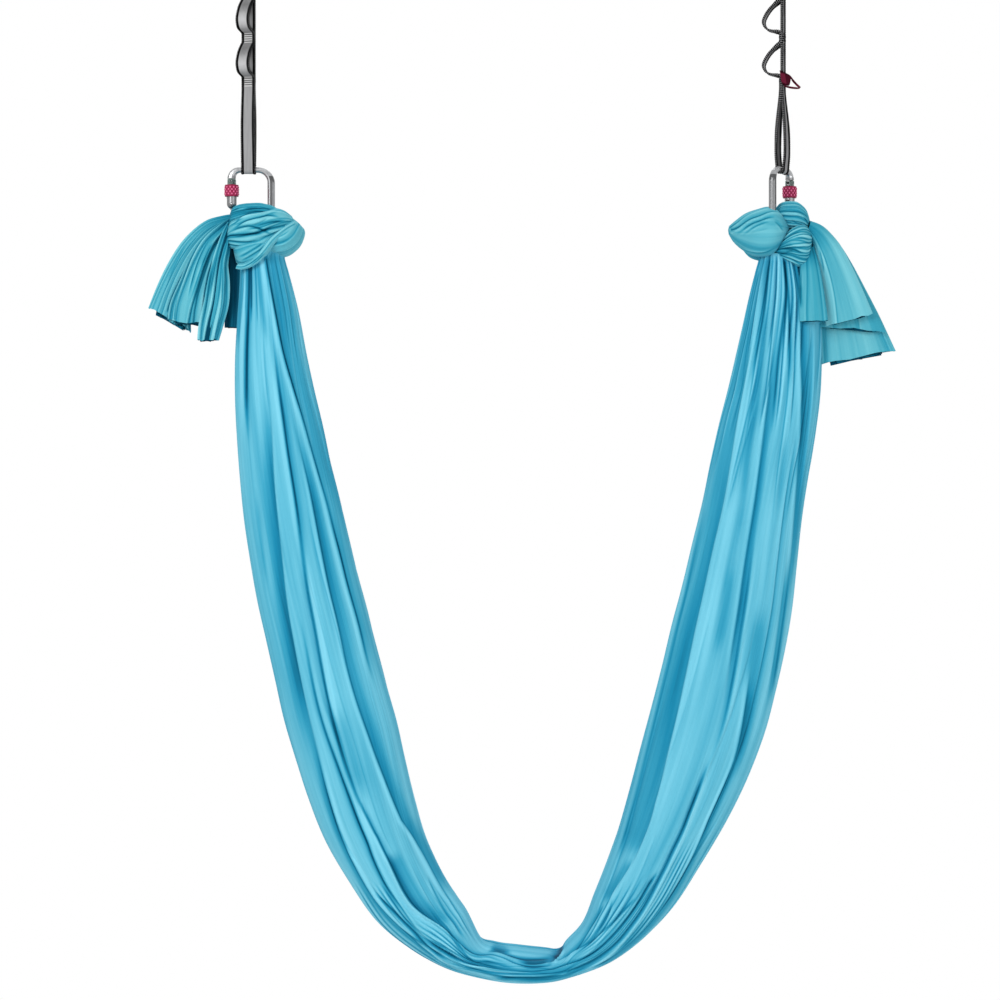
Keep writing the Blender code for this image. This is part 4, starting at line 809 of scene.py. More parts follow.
        # Painted shade over the fold's slope, darkest along its line
        dark = grip * np.maximum(slope * flank, line * np.exp(-(d / thick) ** 2))
        self.shade[i] = 1 - (1 - self.shade[i]) * (1 - np.minimum(dark, 1))

    def folds(self, table, soften=6, fade=12, viewed=False, bold=1.0):
        """The folds of a table, whose places are columns and rows of the front view."""
        for depth, side, width, slope, line, places in table:
            i, angle = self.locate(places, soften)
            self.fold(i, angle, depth * MM, side, width * MM, slope, line,
                      line_width(line, bold), fade, viewed)

    def spread(self, table, soften=6, fade=5, viewed=False):
        """Folds side by side between the first and the last one of each entry."""
        for count, depth, width, slope, line, first, last in table:
            first, last = np.array(first, float), np.array(last, float)
            for k, share in enumerate(np.linspace(0, 1, count)):
                grow = 0.7 + 0.3 * ((k * 7) % 5) / 2
                i, angle = self.locate(first + (last - first) * share, soften)
                self.fold(i, angle, depth * grow * MM, 1 if k % 3 else -1, width * MM,
                          slope * grow, line * grow, SPREAD_LINE, fade, viewed)

    def wander(self, random, count, depths, widths, lengths, dark, low=0.0, high=1.0, drift=0.3):
        """Fine folds at random places round the bundle, which drift as they run."""
        stations = len(self.run)
        for _ in range(count):
            length = max(int(random.uniform(*lengths) * stations), 8)
            start = int(random.uniform(low * stations, max(high * stations - length, 1)))
            i = np.arange(start, min(start + length, stations))
            angle = random.uniform(
                self.angle[0] + RANDOM_MARGIN, self.angle[-1] - RANDOM_MARGIN)
            lean = random.uniform(-drift, drift) * np.linspace(0, 1, len(i))
            depth, width = random.uniform(*depths), random.uniform(*widths)
            line = dark * random.uniform(0.4, 1.2)
            self.fold(i, self.within(angle + lean), depth, random.choice((-1, 1)), width,
                      line * 0.4, line, FINE_LINE)

    def gathers(self, random, count, depth, width, dark):
        """Even folds that run the length of the bundle and close up where it narrows."""
        i = np.arange(len(self.run))
        for k in range(count):
            middle = self.angle[0] + (k + 0.5 + random.uniform(-0.3, 0.3)) * tau / count
            sway = random.uniform(-0.12, 0.12) * np.sin(
                np.linspace(0, random.uniform(2, 5), len(i)))
            grow = random.uniform(0.6, 1.3)
            self.fold(i, self.within(middle + sway), depth * grow, random.choice((-1, 1)),
                      width * grow, dark * 0.4 * grow, dark * grow, FINE_LINE, fade=6)

    def hem(self, random, reach):
        """How far each column's end hangs past the plain hem, rising and falling round it."""
        places = np.linspace(0, 1, HEM_TURNS)
        hangs = random.uniform(-1, 1, HEM_TURNS)
        return np.interp(np.linspace(0, 1, len(self.angle)), places, hangs) * reach

    def inner_runs(self, runs):
        """The rest of the gathered width, folded to and fro inside the bundle."""
        half, depth = self.half * 0.66, self.depth * 0.7
        columns = []
        for k, share in enumerate(np.linspace(0.97, -0.97, runs)):
            reach = np.sqrt(1 - share * share)
            for place in (-reach, reach) if k % 2 else (reach, -reach):
                x = self.middle[:, 0] + self.across[:, 0] * half * place
                z = self.middle[:, 1] + self.across[:, 1] * half * place
                columns.append(np.stack([x, self.y + depth * share, z], axis=1))
        return np.stack(columns, axis=1)

    def lay_open(self, cloth, runs, hem=None, random=None):
        """Add the surface as open cloth whose inner edge runs on to and fro inside it."""
        outer, inner = self.surface(), self.inner_runs(runs)
        points = np.concatenate([outer, inner], axis=1)
        shade = np.concatenate([self.shaded(), np.ones(inner.shape[:2])], axis=1)
        if hem:
            reach = np.concatenate([
                self.hem(random, hem), random.uniform(-1, 1.4, inner.shape[1]) * hem])
            push = rise(0.55, 1.0, self.run / self.length)[:, None] * reach[None, :]
            points[:, :, 0] += push * self.flow[:, None, 0]
            points[:, :, 2] += push * self.flow[:, None, 1]
        cloth.add(points, shade, self.run, self.across_cloth(points))

    def lay_closed(self, cloth):
        """Add the surface as a closed roll of cloth, drawn in to a point at both ends."""
        points = self.surface()[:, :-1]
        for end in (0, -1):
            points[end] = points[end].mean(axis=0)
        cloth.add(points, self.shaded()[:, :-1], self.run, self.across_cloth(points), closed=True)

    def shaded(self):
        return self.shade - CREST_HIGHLIGHT * np.minimum(self.crest_highlight, 1) * (1 - self.shade)

    def across_cloth(self, points):
        """Each column's place across the cloth, read at the widest station, at every station."""
        widest = np.argmax(self.half)
        ring = self.base[widest]
        if points.shape[1] >= ring.shape[0]:
            ring = np.concatenate([ring, points[widest, ring.shape[0]:]])
        place = running(ring)
        return np.broadcast_to(place, (len(self.run), len(place)))

    def surface(self):
        """The folded surface's points."""
        most = PRESS_LIMIT * np.minimum(self.half, self.depth)[:, None]
        relief = np.where(self.relief < 0, -most * np.tanh(-self.relief / most), self.relief)
        return self.base + self.outwards() * relief[:, :, None]


class Cloth:
    """Gathers grids of points into one mesh, with cloth coordinates in metres and the painted
    shade of its folds.
    """

    def __init__(self):
        self.points, self.quads, self.flat, self.shade = [], [], [], []
        self.count = 0

    def add(self, points, shade, along, across, closed=False):
        """Add a grid of points, with each one's shade and its place along and across the cloth."""
        rows, columns = points.shape[:2]
        wide = across.shape[1]
        last = wide - 1 if closed else columns - 1
        place = np.arange(rows)[:, None] * wide + np.arange(wide)[None, :]
        number = np.arange(rows)[:, None] * columns + np.arange(wide)[None, :] % columns
        spot, point = (
            np.stack([grid[:-1, :last], grid[:-1, 1:last + 1], grid[1:, 1:last + 1],
                      grid[1:, :last]], axis=-1).reshape(-1, 4)
            for grid in (place, number))
        flat = np.stack([across, np.broadcast_to(along[:, None], across.shape)], axis=2)
        self.flat.append(flat.reshape(-1, 2)[spot.reshape(-1)])
        self.points.append(points.reshape(-1, 3))
        self.shade.append(np.clip(shade, -CREST_HIGHLIGHT, 1).reshape(-1))
        self.quads.append(point + self.count)
        self.count += rows * columns

    def build(self, name, weld=False):
        """The mesh as an object: welded shut, or left open with its faces turned outwards."""
        mesh = bpy.data.meshes.new(name)
        quads = np.concatenate(self.quads)
        mesh.from_pydata(np.concatenate(self.points).tolist(), [], quads.tolist())
        layer = mesh.uv_layers.new(name="cloth")
        layer.data.foreach_set("uv", np.concatenate(self.flat).astype(np.float32).ravel())
        # Each point's painted shade, below 0 under a painted highlight on a crest
        fold = mesh.attributes.new("fold", "FLOAT", "POINT")
        fold.data.foreach_set("value", np.concatenate(self.shade).astype(np.float32))
        if weld:
            bm = bmesh.new()
            bm.from_mesh(mesh)
            bmesh.ops.remove_doubles(bm, verts=bm.verts, dist=0.005 * MM)
            bmesh.ops.recalc_face_normals(bm, faces=bm.faces)
            bm.to_mesh(mesh)
            bm.free()
        else:
            mesh.flip_normals()
        mesh.shade_smooth()
        made = bpy.data.objects.new(name, mesh)
        bpy.context.scene.collection.objects.link(made)
        return made


def cloth_finish(name, colours, tint=(1, 1, 1)):
    """Turquoise tricot: fine ribs along its length and long soft wrinkles, coloured from painted
    highlights on the folds' crests to painted shade in the folds.
    """
    finish = Finish(name, roughness=0.6, specular_ior_level=0.03)
    flat = finish.place("UV")
    u, v, _ = finish.split(flat)
    fold = finish.attribute("fold")
    panels = finish.noise(finish.stretched(flat, (22, 2.0, 1)), 1.0, 2.0)
    bands = finish.noise(finish.stretched(flat, (75, 2.6, 1)), 1.0, 2.0)
    streaks = finish.noise(finish.stretched(flat, (240, 6, 1)), 1.0, 3.0)
    tone = (panels - 0.5) * 1.3 + (bands - 0.5) * 0.9 + (streaks - 0.5) * 0.35
    # From the painted highlight through the cloth's turquoise to the painted shade, with random
    # tone
    place = (fold / (CREST_HIGHLIGHT + 1) + tone * 0.5 + CREST_HIGHLIGHT / (CREST_HIGHLIGHT + 1)).clamped()
    shades = (colours.cloth_crest_highlight, colours.cloth, colours.cloth_shade, colours.cloth_fold_shade,
              colours.cloth_crease_shade)
    tinted = [tuple(c * k for c, k in zip(shade, tint)) for shade in shades]
    stops = list(zip(CLOTH_STOPS, tinted))
    colour = finish.node("ValToRGB", {"stops": stops}, {"Fac": place})
    ribs = (u * (tau / CLOTH_RIBS)).wave() * 0.5 + (v * (tau / CLOTH_COURSES)).wave() * 0.35
    wrinkles = finish.bump(streaks + bands, 0.6, 1.6 * MM)
    weave = finish.bump(ribs, 0.12, 0.25 * MM, wrinkles)
    return finish.feed(base_color=colour, normal=weave)


# Straps

def bezier(*corners):
    """Points of the curve with four given corners."""
    t = np.linspace(0, 1, 60)[:, None]
    a, b, c, d = (np.array(corner, float) for corner in corners)
    return (1 - t) ** 3 * a + 3 * (1 - t) ** 2 * t * b + 3 * (1 - t) * t * t * c + t ** 3 * d


def arc(centre, radius, start, end):
    """Points of a round stretch between two angles."""
    angle = np.linspace(start, end, 60)
    return centre + radius * np.stack([np.cos(angle), np.sin(angle)], axis=1)


def webbing_line():
    """Out and height of the strap's middle line: back layer, anchor eye, then the pockets."""
    high, low = EYE_FOOT - EYE_HANDLE, EYE_WIDEST + EYE_HANDLE
    runs = [
        [(-LAYER_OUT, TACKS[2]), (-LAYER_OUT, EYE_FOOT)],
        bezier((-LAYER_OUT, EYE_FOOT), (-LAYER_OUT, high),
               (-EYE_CROWN, low), (-EYE_CROWN, EYE_WIDEST)),
        arc((0, EYE_WIDEST), EYE_CROWN, pi, 0),
        bezier((EYE_CROWN, EYE_WIDEST), (EYE_CROWN, low),
               (LAYER_OUT, high), (LAYER_OUT, EYE_FOOT)),
    ]
    for upper, lower in zip(TACKS, TACKS[1:]):
        top = upper - TACK_HALF
        bare = top - (lower + TACK_HALF)
        turns = [
            (LAYER_OUT + out * POCKET_REACH, top - down * bare) for out, down in POCKET_SHARES]
        runs.append(eased(turns, np.linspace(0, len(turns) - 1, 120)))
    runs.append([(LAYER_OUT, TACKS[2])])
    return np.concatenate(runs)


def loop_line():
    """Out and height of the webbing's lower end, down round the carabiner's bar and up again."""
    bulge = BAR_HEIGHT + LOOP_BULGE_HEIGHT
    straight = TACKS[2] - TACK_HALF
    handle = (straight - bulge) / 2
    wide = LOOP_SEAT + LOOP_BULGE
    front_leg = np.concatenate([
        [(LAYER_OUT, LOOP_TOP)],
        bezier((LAYER_OUT, straight), (LAYER_OUT, straight - handle / 2), (wide, bulge + handle),
               (wide, bulge)),
        bezier((wide, bulge), (wide, bulge - LOOP_BULGE_HEIGHT / 2),
               (LOOP_SEAT, BAR_HEIGHT + LOOP_BULGE_HEIGHT / 4), (LOOP_SEAT, BAR_HEIGHT)),
    ])
    back_leg = front_leg[::-1] * (-1, 1)
    return np.concatenate([front_leg, arc((0, BAR_HEIGHT), LOOP_SEAT, 0, -pi), back_leg])


def even(line, step, smooth):
    """A line at even steps, with its corners rounded, and the length so far at each step."""
    run = running(line)
    along = np.linspace(0, run[-1], int(run[-1] / step))
    columns = (np.interp(along, run, column) for column in np.asarray(line, float).T)
    rounded = [averaged(column, smooth, mode="reflect", reflect_type="odd") for column in columns]
    return along, np.stack(rounded, axis=1)


def webbing_section(width, thickness, along, cord):
    """Across and off of the section's points at each station, with a corded edge."""
    face = np.linspace(-1, 1, 8) * (width / 2 - SELVEDGE)
    bend = np.linspace(pi * 0.62, -pi * 0.62, 9)
    bead = np.sin(tau * along[:, None] / BEAD_PITCH + bend[None, :])
    edge = width / 2 - CORD_INSET + (CORD_REACH + BEAD_REACH * bead) * np.cos(bend)
    edge_off = (cord[:, None] + BEAD_RISE * bead) * np.sin(bend)
    face = np.broadcast_to(face, (len(along), len(face)))
    face_off = np.full(face.shape, thickness * 0.45)
    across = np.concatenate([face, edge, -face, -edge], axis=1)
    off = np.concatenate([face_off, edge_off, -face_off, -edge_off], axis=1)
    return across, off


def lay_webbing(cloth, side, line, width, thickness):
    """Add a strip of webbing along a line of out and height, closed at both ends."""
    along, line = even(line, WEB_STEP, 5)
    flow = heading(line)
    plump = rise(CORD_CLEAR, 3 * CORD_CLEAR, line[:, 1] - BAR_HEIGHT)
    plump *= 1 - rise(*CORD_FLAT, np.abs(line[:, 0]))
    across, off = webbing_section(width, thickness, along, CORD_HALF + CORD_PLUMP[side] * plump)
    out = line[:, :1] - flow[:, 1:] * off
    height = line[:, 1:] + flow[:, :1] * off
    below = (TACKS[2] - TACK_HALF - height) / (TACKS[2] - BAR_HEIGHT - TACK_HALF)
    angle = STRAP_TWISTS[side] * (1 - rise(0, 1, below)) + STRAP_TURNS[side]
    place = -STRAP_PLACE if side == "left" else STRAP_PLACE
    x = across * np.cos(angle) + out * np.sin(angle) + place
    y = across * np.sin(angle) - out * np.cos(angle)
    lay_strip(cloth, np.stack([x, y, height], axis=2), across, along)


def lay_strip(cloth, points, across, along):
    """Add a strip of closed sections, each end drawn in to a point."""
    points = np.concatenate([points[:1], points, points[-1:]])
    for end in (0, -1):
        points[end] = points[end].mean(axis=0)
    across = np.concatenate([across[:1], across, across[-1:]])
    across = np.concatenate([across, across[:, :1]], axis=1)
    along = np.r_[along[:1], along, along[-1:]]
    cloth.add(points, np.zeros(points.shape[:2]), along, across, closed=True)


def webbing_finish(side, colours, width):
    """Grey woven middle between black corded edges with pale flecks, with a painted highlight low
    on each pocket and painted shade higher up.
    """
    finish = Finish("webbing_" + side, roughness=0.75, specular_ior_level=0.02)
    across, along, _ = finish.split(finish.place("UV"))
    _, _, height = finish.split(finish.place())

    def painted_patches(rise_over):
        """Soft patches for the webbing's painted highlight and painted shade, each at the same
        height over its tack.
        """
        return sum((1 - (height - tack - rise_over).size() / PAINTED_LIGHT_REACH).clamped()
                   for tack in TACKS[1:])

    edge = across.size() > (width / 2 - BLACK_EDGE[side])
    ribs = (across * (tau / RIB_PITCH)).wave()
    weft = (along * (tau / WEFT_PITCH) + ribs).wave()
    cord = (along / BEAD_PITCH + across.size() / BEAD_SLANT).fraction()
    fleck = (cord < FLECK_SHARE) * (across.size() > (width / 2 - FLECK_EDGE))
    cloudy = finish.noise(finish.stretched(finish.place("UV"), (260, 30, 1)), 1.0, 3.0)
    stitched = sum((height - tack).size() < TACK_HALF for tack in TACKS)
    # Painted highlight low on each pocket and painted shade higher up
    painted_light = painted_patches(HIGHLIGHT_OVER_TACK) * 0.6 - painted_patches(SHADE_OVER_TACK) * 0.4
    tone = (cloudy * 0.4 + ribs * 0.16 + weft * 0.07 + painted_light + 0.25).clamped()
    middle = finish.mix(tone, scaled(colours.webbing, 0.62), scaled(colours.webbing, 1.7))
    middle = finish.mix(stitched * 0.85, middle, STITCH_GREY)
    border = finish.mix(fleck, colours.selvedge, scaled(colours.webbing, 1.6))
    bump = finish.bump(ribs * 0.5 + weft * 0.5, 0.35, 0.3 * MM)
    return finish.feed(base_color=finish.mix(edge, middle, border), normal=bump)


class HAMMOCK_OT_straps(bpy.types.Operator):
    """Weave the two straps, their carabiner loops and the red tab"""

    bl_idname = "hammock.straps"
    bl_label = "Straps"

    def execute(self, context):
        sizes, colours = context.scene.hammock_sizes, context.scene.hammock_colours
        for side in SIDES:
            finish = webbing_finish(side, colours, sizes.webbing_width)
            for node, line in (("strap_webbing", webbing_line()), ("carabiner_loop", loop_line())):
                cloth = Cloth()
                lay_webbing(cloth, side, line, sizes.webbing_width, sizes.webbing_thickness)
                made = cloth.build(f"woven_{side}_{node}", weld=True)
                made.data.materials.append(finish)
                if (side, node) == ("right", "carabiner_loop"):
                    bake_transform(made)
                else:
                    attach(made, "straps")
                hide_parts(f"{side}_{node}")
        self.tab(colours)
        self.threads(colours)
        return {"FINISHED"}

    @staticmethod
    def tab(colours):
        """The folded tab, twilled and darker along its edges and in its loop."""
        table = [
            (*front(*row[0:2]), row[2] * MM, *front(*row[3:5]), row[5] * MM) for row in TAB_ROWS]
        along, line = even(eased(table, np.linspace(0, len(table) - 1, 140)), 0.4 * MM, 0)
        upper, lower = line[:, (0, 2, 1)], line[:, (3, 5, 4)]
        face = np.cross(np.gradient(upper + lower, axis=0), lower - upper)
        face /= np.linalg.norm(face, axis=1, keepdims=True)
        share = np.array([0, 0.03, 0.3, 0.7, 0.97, 1, 0.97, 0.7, 0.3, 0.03])
        off = np.array([0, 0.4, 0.5, 0.5, 0.4, 0, -0.4, -0.5, -0.5, -0.4]) * TAB_THICKNESS
        points = (upper[:, None] + (lower - upper)[:, None] * share[None, :, None]
                  + face[:, None] * off[None, :, None])
        cloth = Cloth()
        lay_strip(cloth, points, np.broadcast_to(share, points.shape[:2]), along)
        made = cloth.build("folded_red_tab", weld=True)
        finish = Finish("tab", roughness=0.7, specular_ior_level=0.03)
        u, v, _ = finish.split(finish.place("UV"))
        edge = (u - 0.5).size() > 0.36
        twill = (u * 60 + v * (tau / TAB_TWILL)).wave()
        tone = (twill * 0.25 + finish.noise(finish.place("UV"), 400.0) * 0.6 + 0.1).clamped()
        body = finish.mix(tone, scaled(colours.tab, 0.7), scaled(colours.tab, 1.4))
        looped = (v > TAB_LOOP[0]) * (v < TAB_LOOP[1])
        dark = (edge + looped * 0.8).clamped()
        colour = finish.mix(dark, body, scaled(colours.tab, 0.25))
        made.data.materials.append(
            finish.feed(base_color=colour, normal=finish.bump(twill, 0.3, 0.2 * MM)))
        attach(made, "straps")
        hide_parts("red_tab")

    @staticmethod
    def threads(colours):
        """Black twisted thread on every tack."""
        finish = Finish("stitch_thread", roughness=0.7, specular_ior_level=0.02)
        x, y, z = finish.split(finish.place())
        ply = ((x + y) * (tau / THREAD_PITCH) + z * (tau / THREAD_PITCH)).wave()
        colour = finish.mix((ply * 0.5 + 0.5).clamped(), scaled(colours.selvedge, 0.5),
                            scaled(colours.selvedge, 2))
        dress("_tack_", finish.feed(base_color=colour, normal=finish.bump(ply, 0.4, 0.15 * MM)))


def dress(part, material):
    """Give a material to the solids whose names hold a part of a name."""
    for name, node in frame["nodes"].items():
        if part in name:
            for slot in node.material_slots:
                slot.material = material


# Carabiners

def metal(name, roughness):
    """A metal's finish, with the grain, the wear and the roughness that they make."""
    finish = Finish(name, metallic=1.0)
    grain = finish.noise(finish.stretched(finish.place(), (500, 500, 2500)), 1.0, 3.0)
    worn = finish.noise(finish.place(), 120.0, 3.0)
    return finish, grain, worn, (grain * 0.16 + worn * 0.14 + (roughness - 0.15)).clamped()


class HAMMOCK_OT_carabiners(bpy.types.Operator):
    """Finish the carabiners' metal and fit the knurled sleeves"""

    bl_idname = "hammock.carabiners"
    bl_label = "Carabiners"

    def execute(self, context):
        steel = context.scene.hammock_colours.steel
        for side in SIDES:
            self.body(side, steel)
            self.gate(side, steel)
            self.sleeve(side)
        finish, grain, _, rough = metal("bright_steel", 0.3)
        colour = finish.mix(grain, scaled(steel, 0.8), scaled(steel, 1.25))
        bump = finish.bump(grain, 0.15, 0.05 * MM)
        bright = finish.feed(base_color=colour, roughness=rough, normal=bump)
        for part in ("_rivet", "_pin", "_plunger", "_spring"):
            dress(part, bright)
        nylon = Finish("ring_nylon", roughness=0.45)
        specks = nylon.noise(nylon.place(), 900.0)
        colour = nylon.mix(specks, *NYLON_BLACKS)
        bump = nylon.bump(specks, 0.2, 0.1 * MM)
        dress("_friction_ring", nylon.feed(base_color=colour, normal=bump))
        return {"FINISHED"}

    @staticmethod
    def body(side, steel):
        """Polished bar, with painted shade along the spine, on a facet down its front and in its
        flat recess.
        """
        finish, grain, worn, rough = metal(f"polished_steel_{side}", 0.3)
        x, y, z = finish.split(finish.place())
        axis_x, axis_y = SPINE_AXES[side]
        dx, dy = x - axis_x, y - axis_y
        radius = (dx * dx + dy * dy) ** 0.5
        # Painted shade along the spine, in its flat recess and on a facet down its front
        spine = (z > SPINE_SPAN[0]) * (z < SPINE_SPAN[1])
        recess_shade = (radius < SPINE_RADIUS - 0.25 * MM) * spine
        facet_shade = ((dx.size() < FACET_SHADE_HALF) * (y < axis_y) * spine
                 * (radius < SPINE_RADIUS + 0.5 * MM))
        bright = finish.mix((worn * 1.4 - 0.2).clamped(), scaled(steel, 0.78), scaled(steel, 1.2))
        dark = (recess_shade * 0.6 + facet_shade * 0.4 + spine * SPINE_SHADE[side]).clamped()
        colour = finish.mix(dark, bright, scaled(steel, 0.25))
        bump = finish.bump(grain, 0.2, 0.06 * MM)
        dress(f"{side}_carabiner_body",
              finish.feed(base_color=colour, roughness=rough, normal=bump))

    @staticmethod
    def gate(side, steel):
        """Dark tube whose upper end has a greenish screw thread, with painted shade in its grooves
        and a painted highlight on its ridges.
        """
        finish, grain, _, rough = metal(f"gate_steel_{side}", 0.32)
        x, y, z = finish.split(finish.place())
        thread = (z * (tau / THREAD_PITCH) + (x + y) * 250).wave()
        threaded = z > (SLEEVE_FOOT + 2 * MM)
        tube = finish.mix(grain, scaled(steel, 0.3), scaled(steel, 0.8))
        # Painted shade in the thread's grooves and a painted highlight on its ridges
        thread_shading = finish.mix((thread * 0.5 + 0.5).clamped(), *THREAD_SHADING_GREENS)
        relief = finish.bump(thread * threaded, 0.8, 0.4 * MM, finish.bump(grain, 0.2, 0.06 * MM))
        material = finish.feed(
            base_color=finish.mix(threaded, tube, thread_shading), roughness=rough, normal=relief)
        for slot in frame["nodes"][f"{side}_gate"].material_slots:
            slot.material = material

    @staticmethod
    def sleeve(side):
        """The locking sleeve: a bored, tapered tube with staggered rows of raised bumps."""
        axis = GATE_AXES[side]

        def from_axis(c):
            return hypot(c.x - axis[0], c.y - axis[1])

        bpy.ops.object.select_all(action="DESELECT")
        bpy.ops.mesh.primitive_cylinder_add(
            vertices=BUMP_SECTORS, radius=SLEEVE_RADIUS, depth=SLEEVE_HEIGHT, end_fill_type="NGON",
            location=(*axis, (SLEEVE_FOOT + SLEEVE_TOP) / 2))
        made = bpy.context.object
        made.name = f"knurled_{side}_locking_sleeve"
        made.data.transform(made.matrix_world)
        made.matrix_world = Matrix.Identity(4)
        bpy.ops.object.mode_set(mode="EDIT")
        bpy.ops.mesh.select_mode(type="FACE")
        low, high = SLEEVE_FOOT + SLEEVE_LIP, SLEEVE_TOP - SLEEVE_LIP
        levels = np.linspace(low, high, BUMP_ROWS + 1)
        for level in levels:
            bpy.ops.mesh.select_all(action="SELECT")
            bpy.ops.mesh.bisect(plane_co=(*axis, level), plane_no=(0, 0, 1))
        select_faces(made, lambda c, n: abs(n.z) > 0.9)
        bpy.ops.mesh.inset(thickness=SLEEVE_RADIUS - SLEEVE_BORE, depth=0)
        bpy.ops.mesh.bridge_edge_loops()
        share = SLEEVE_END / SLEEVE_RADIUS
        for level in (SLEEVE_FOOT, SLEEVE_TOP):
            select_points(made, lambda c: abs(c.z - level) < 0.01 * MM
                          and from_axis(c) > (SLEEVE_BORE + SLEEVE_RADIUS) / 2)
            bpy.ops.transform.resize(value=(share, share, 1), center_override=(*axis, level))

        def on_bump(c, n):
            row = int(np.searchsorted(levels, c.z)) - 1
            angle = np.arctan2(c.y - axis[1], c.x - axis[0])
            sector = int(round(angle / (tau / BUMP_SECTORS) - 0.5)) % BUMP_SECTORS
            outer = from_axis(c) > SLEEVE_BORE + 1 * MM
            return low < c.z < high and outer and (row + sector) % 2 == 0

        select_faces(made, on_bump)
        bpy.ops.mesh.inset(thickness=BUMP_GAP, depth=0, use_individual=True)
        bpy.ops.mesh.inset(thickness=BUMP_SLOPE, depth=BUMP_RISE, use_individual=True)
        bpy.ops.mesh.select_all(action="SELECT")
        bpy.ops.mesh.normals_make_consistent(inside=False)
        bpy.ops.object.mode_set(mode="OBJECT")
        soften = made.modifiers.new("soften", "BEVEL")
        soften.width, soften.segments, soften.limit_method = SLEEVE_BEVEL, 2, "ANGLE"
        bpy.ops.object.modifier_apply(modifier=soften.name)
        bpy.ops.object.shade_smooth_by_angle(angle=radians(40))
        worn = made.data.attributes.new("worn", "FLOAT", "POINT")
        worn.data.foreach_set("value", [
            float(from_axis(v.co) > SLEEVE_RADIUS + BUMP_WORN) for v in made.data.vertices])
        material = bpy.data.materials.get("sleeve_crimson") or sleeve_finish()
        made.data.materials.append(material)
        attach(made, f"{side}_sleeve")
        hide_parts(f"{side}_locking_sleeve")


def sleeve_finish():
    """Crimson anodised metal, rubbed pale on its bumps."""
    colours = bpy.context.scene.hammock_colours
    finish = Finish("sleeve_crimson", roughness=0.45, specular_ior_level=0.25)
    fine = finish.noise(finish.place(), 700.0, 3.0)
    worn = (finish.attribute("worn") * (fine * 1.1 + 0.3)).clamped()
    colour = finish.mix(worn, colours.sleeve, colours.sleeve_worn)
    return finish.feed(base_color=colour, normal=finish.bump(fine, 0.25, 0.1 * MM))


def select_faces(made, wanted):
    """In edit mode, select just the faces whose middle and normal are wanted."""
    bpy.ops.mesh.select_all(action="DESELECT")
    bm = bmesh.from_edit_mesh(made.data)
    for face in bm.faces:
        face.select_set(bool(wanted(face.calc_center_median(), face.normal)))
    bmesh.update_edit_mesh(made.data)


def select_points(made, wanted):
    """In edit mode, select just the points whose places are wanted."""
    bpy.ops.mesh.select_mode(type="VERT")
    bpy.ops.mesh.select_all(action="DESELECT")
    bm = bmesh.from_edit_mesh(made.data)
    for vert in bm.verts:
        vert.select_set(bool(wanted(vert.co)))
    bm.select_flush_mode()
    bmesh.update_edit_mesh(made.data)
    bpy.ops.mesh.select_mode(type="FACE")


# Stage

class HAMMOCK_OT_stage(bpy.types.Operator):
    """Place the camera, the lamps, the white surround and the pale floor"""

    bl_idname = "hammock.stage"
    bl_label = "Stage"

    def execute(self, context):
        scene = context.scene
        camera = bpy.data.cameras.new("camera")
        camera.sensor_width = SENSOR
        camera.lens = SENSOR * VIEW_DISTANCE / VIEW_WIDTH
        eye = bpy.data.objects.new("camera", camera)
        eye.location = (CAMERA_X, -VIEW_DISTANCE, CAMERA_Z)
        eye.rotation_euler = (pi / 2, 0, 0)
        scene.collection.objects.link(eye)
        scene.camera = eye
        scene.view_settings.view_transform = "Standard"
        for lamp in LAMPS:
            self.lamp(scene, *lamp)
        self.surround(scene)
        bpy.ops.object.select_all(action="DESELECT")
        bpy.ops.mesh.primitive_plane_add(size=FLOOR_SIZE, location=(0, 0, FLOOR_HEIGHT))
        floor = context.object
        floor.name = "floor"
        floor.data.transform(floor.matrix_world)
        floor.matrix_world = Matrix.Identity(4)
        finish = Finish("floor_paper", roughness=0.9)
        grain = finish.noise(finish.place(), 900.0)
        colour = finish.mix(grain, *FLOOR_WHITES)
        floor.data.materials.append(finish.feed(base_color=colour))
        return {"FINISHED"}

    @staticmethod
    def lamp(scene, name, place, size, power):
        lamp = bpy.data.lights.new(name, "AREA")
        lamp.shape = "DISK"
        lamp.size = size
        lamp.energy = power
        made = bpy.data.objects.new(name, lamp)
        made.location = place
        aim = Vector(LAMPS_AIM) - Vector(place)
        made.rotation_euler = aim.to_track_quat("-Z", "Y").to_euler()
        scene.collection.objects.link(made)

    @staticmethod
    def surround(scene):
        """White to the eye and in reflections, with a softer light on the pieces."""
        scene.world = bpy.data.worlds.new("surround")
        scene.world.use_nodes = True
        nodes = Nodes(scene.world.node_tree)
        camera, glossy, through = (
            nodes.node("LightPath", output=f"Is {ray} Ray")
            for ray in ("Camera", "Glossy", "Transmission"))
        white = camera.at_least(glossy).at_least(through)
        strength = nodes.node("Mix", {}, {0: white, 2: SURROUND_LIGHT, 3: 1.0})
        light = nodes.tree.nodes["Background"]
        light.inputs["Color"].default_value = (1, 1, 1, 1)
        nodes.tree.links.new(strength.socket, light.inputs["Strength"])


# Cloth

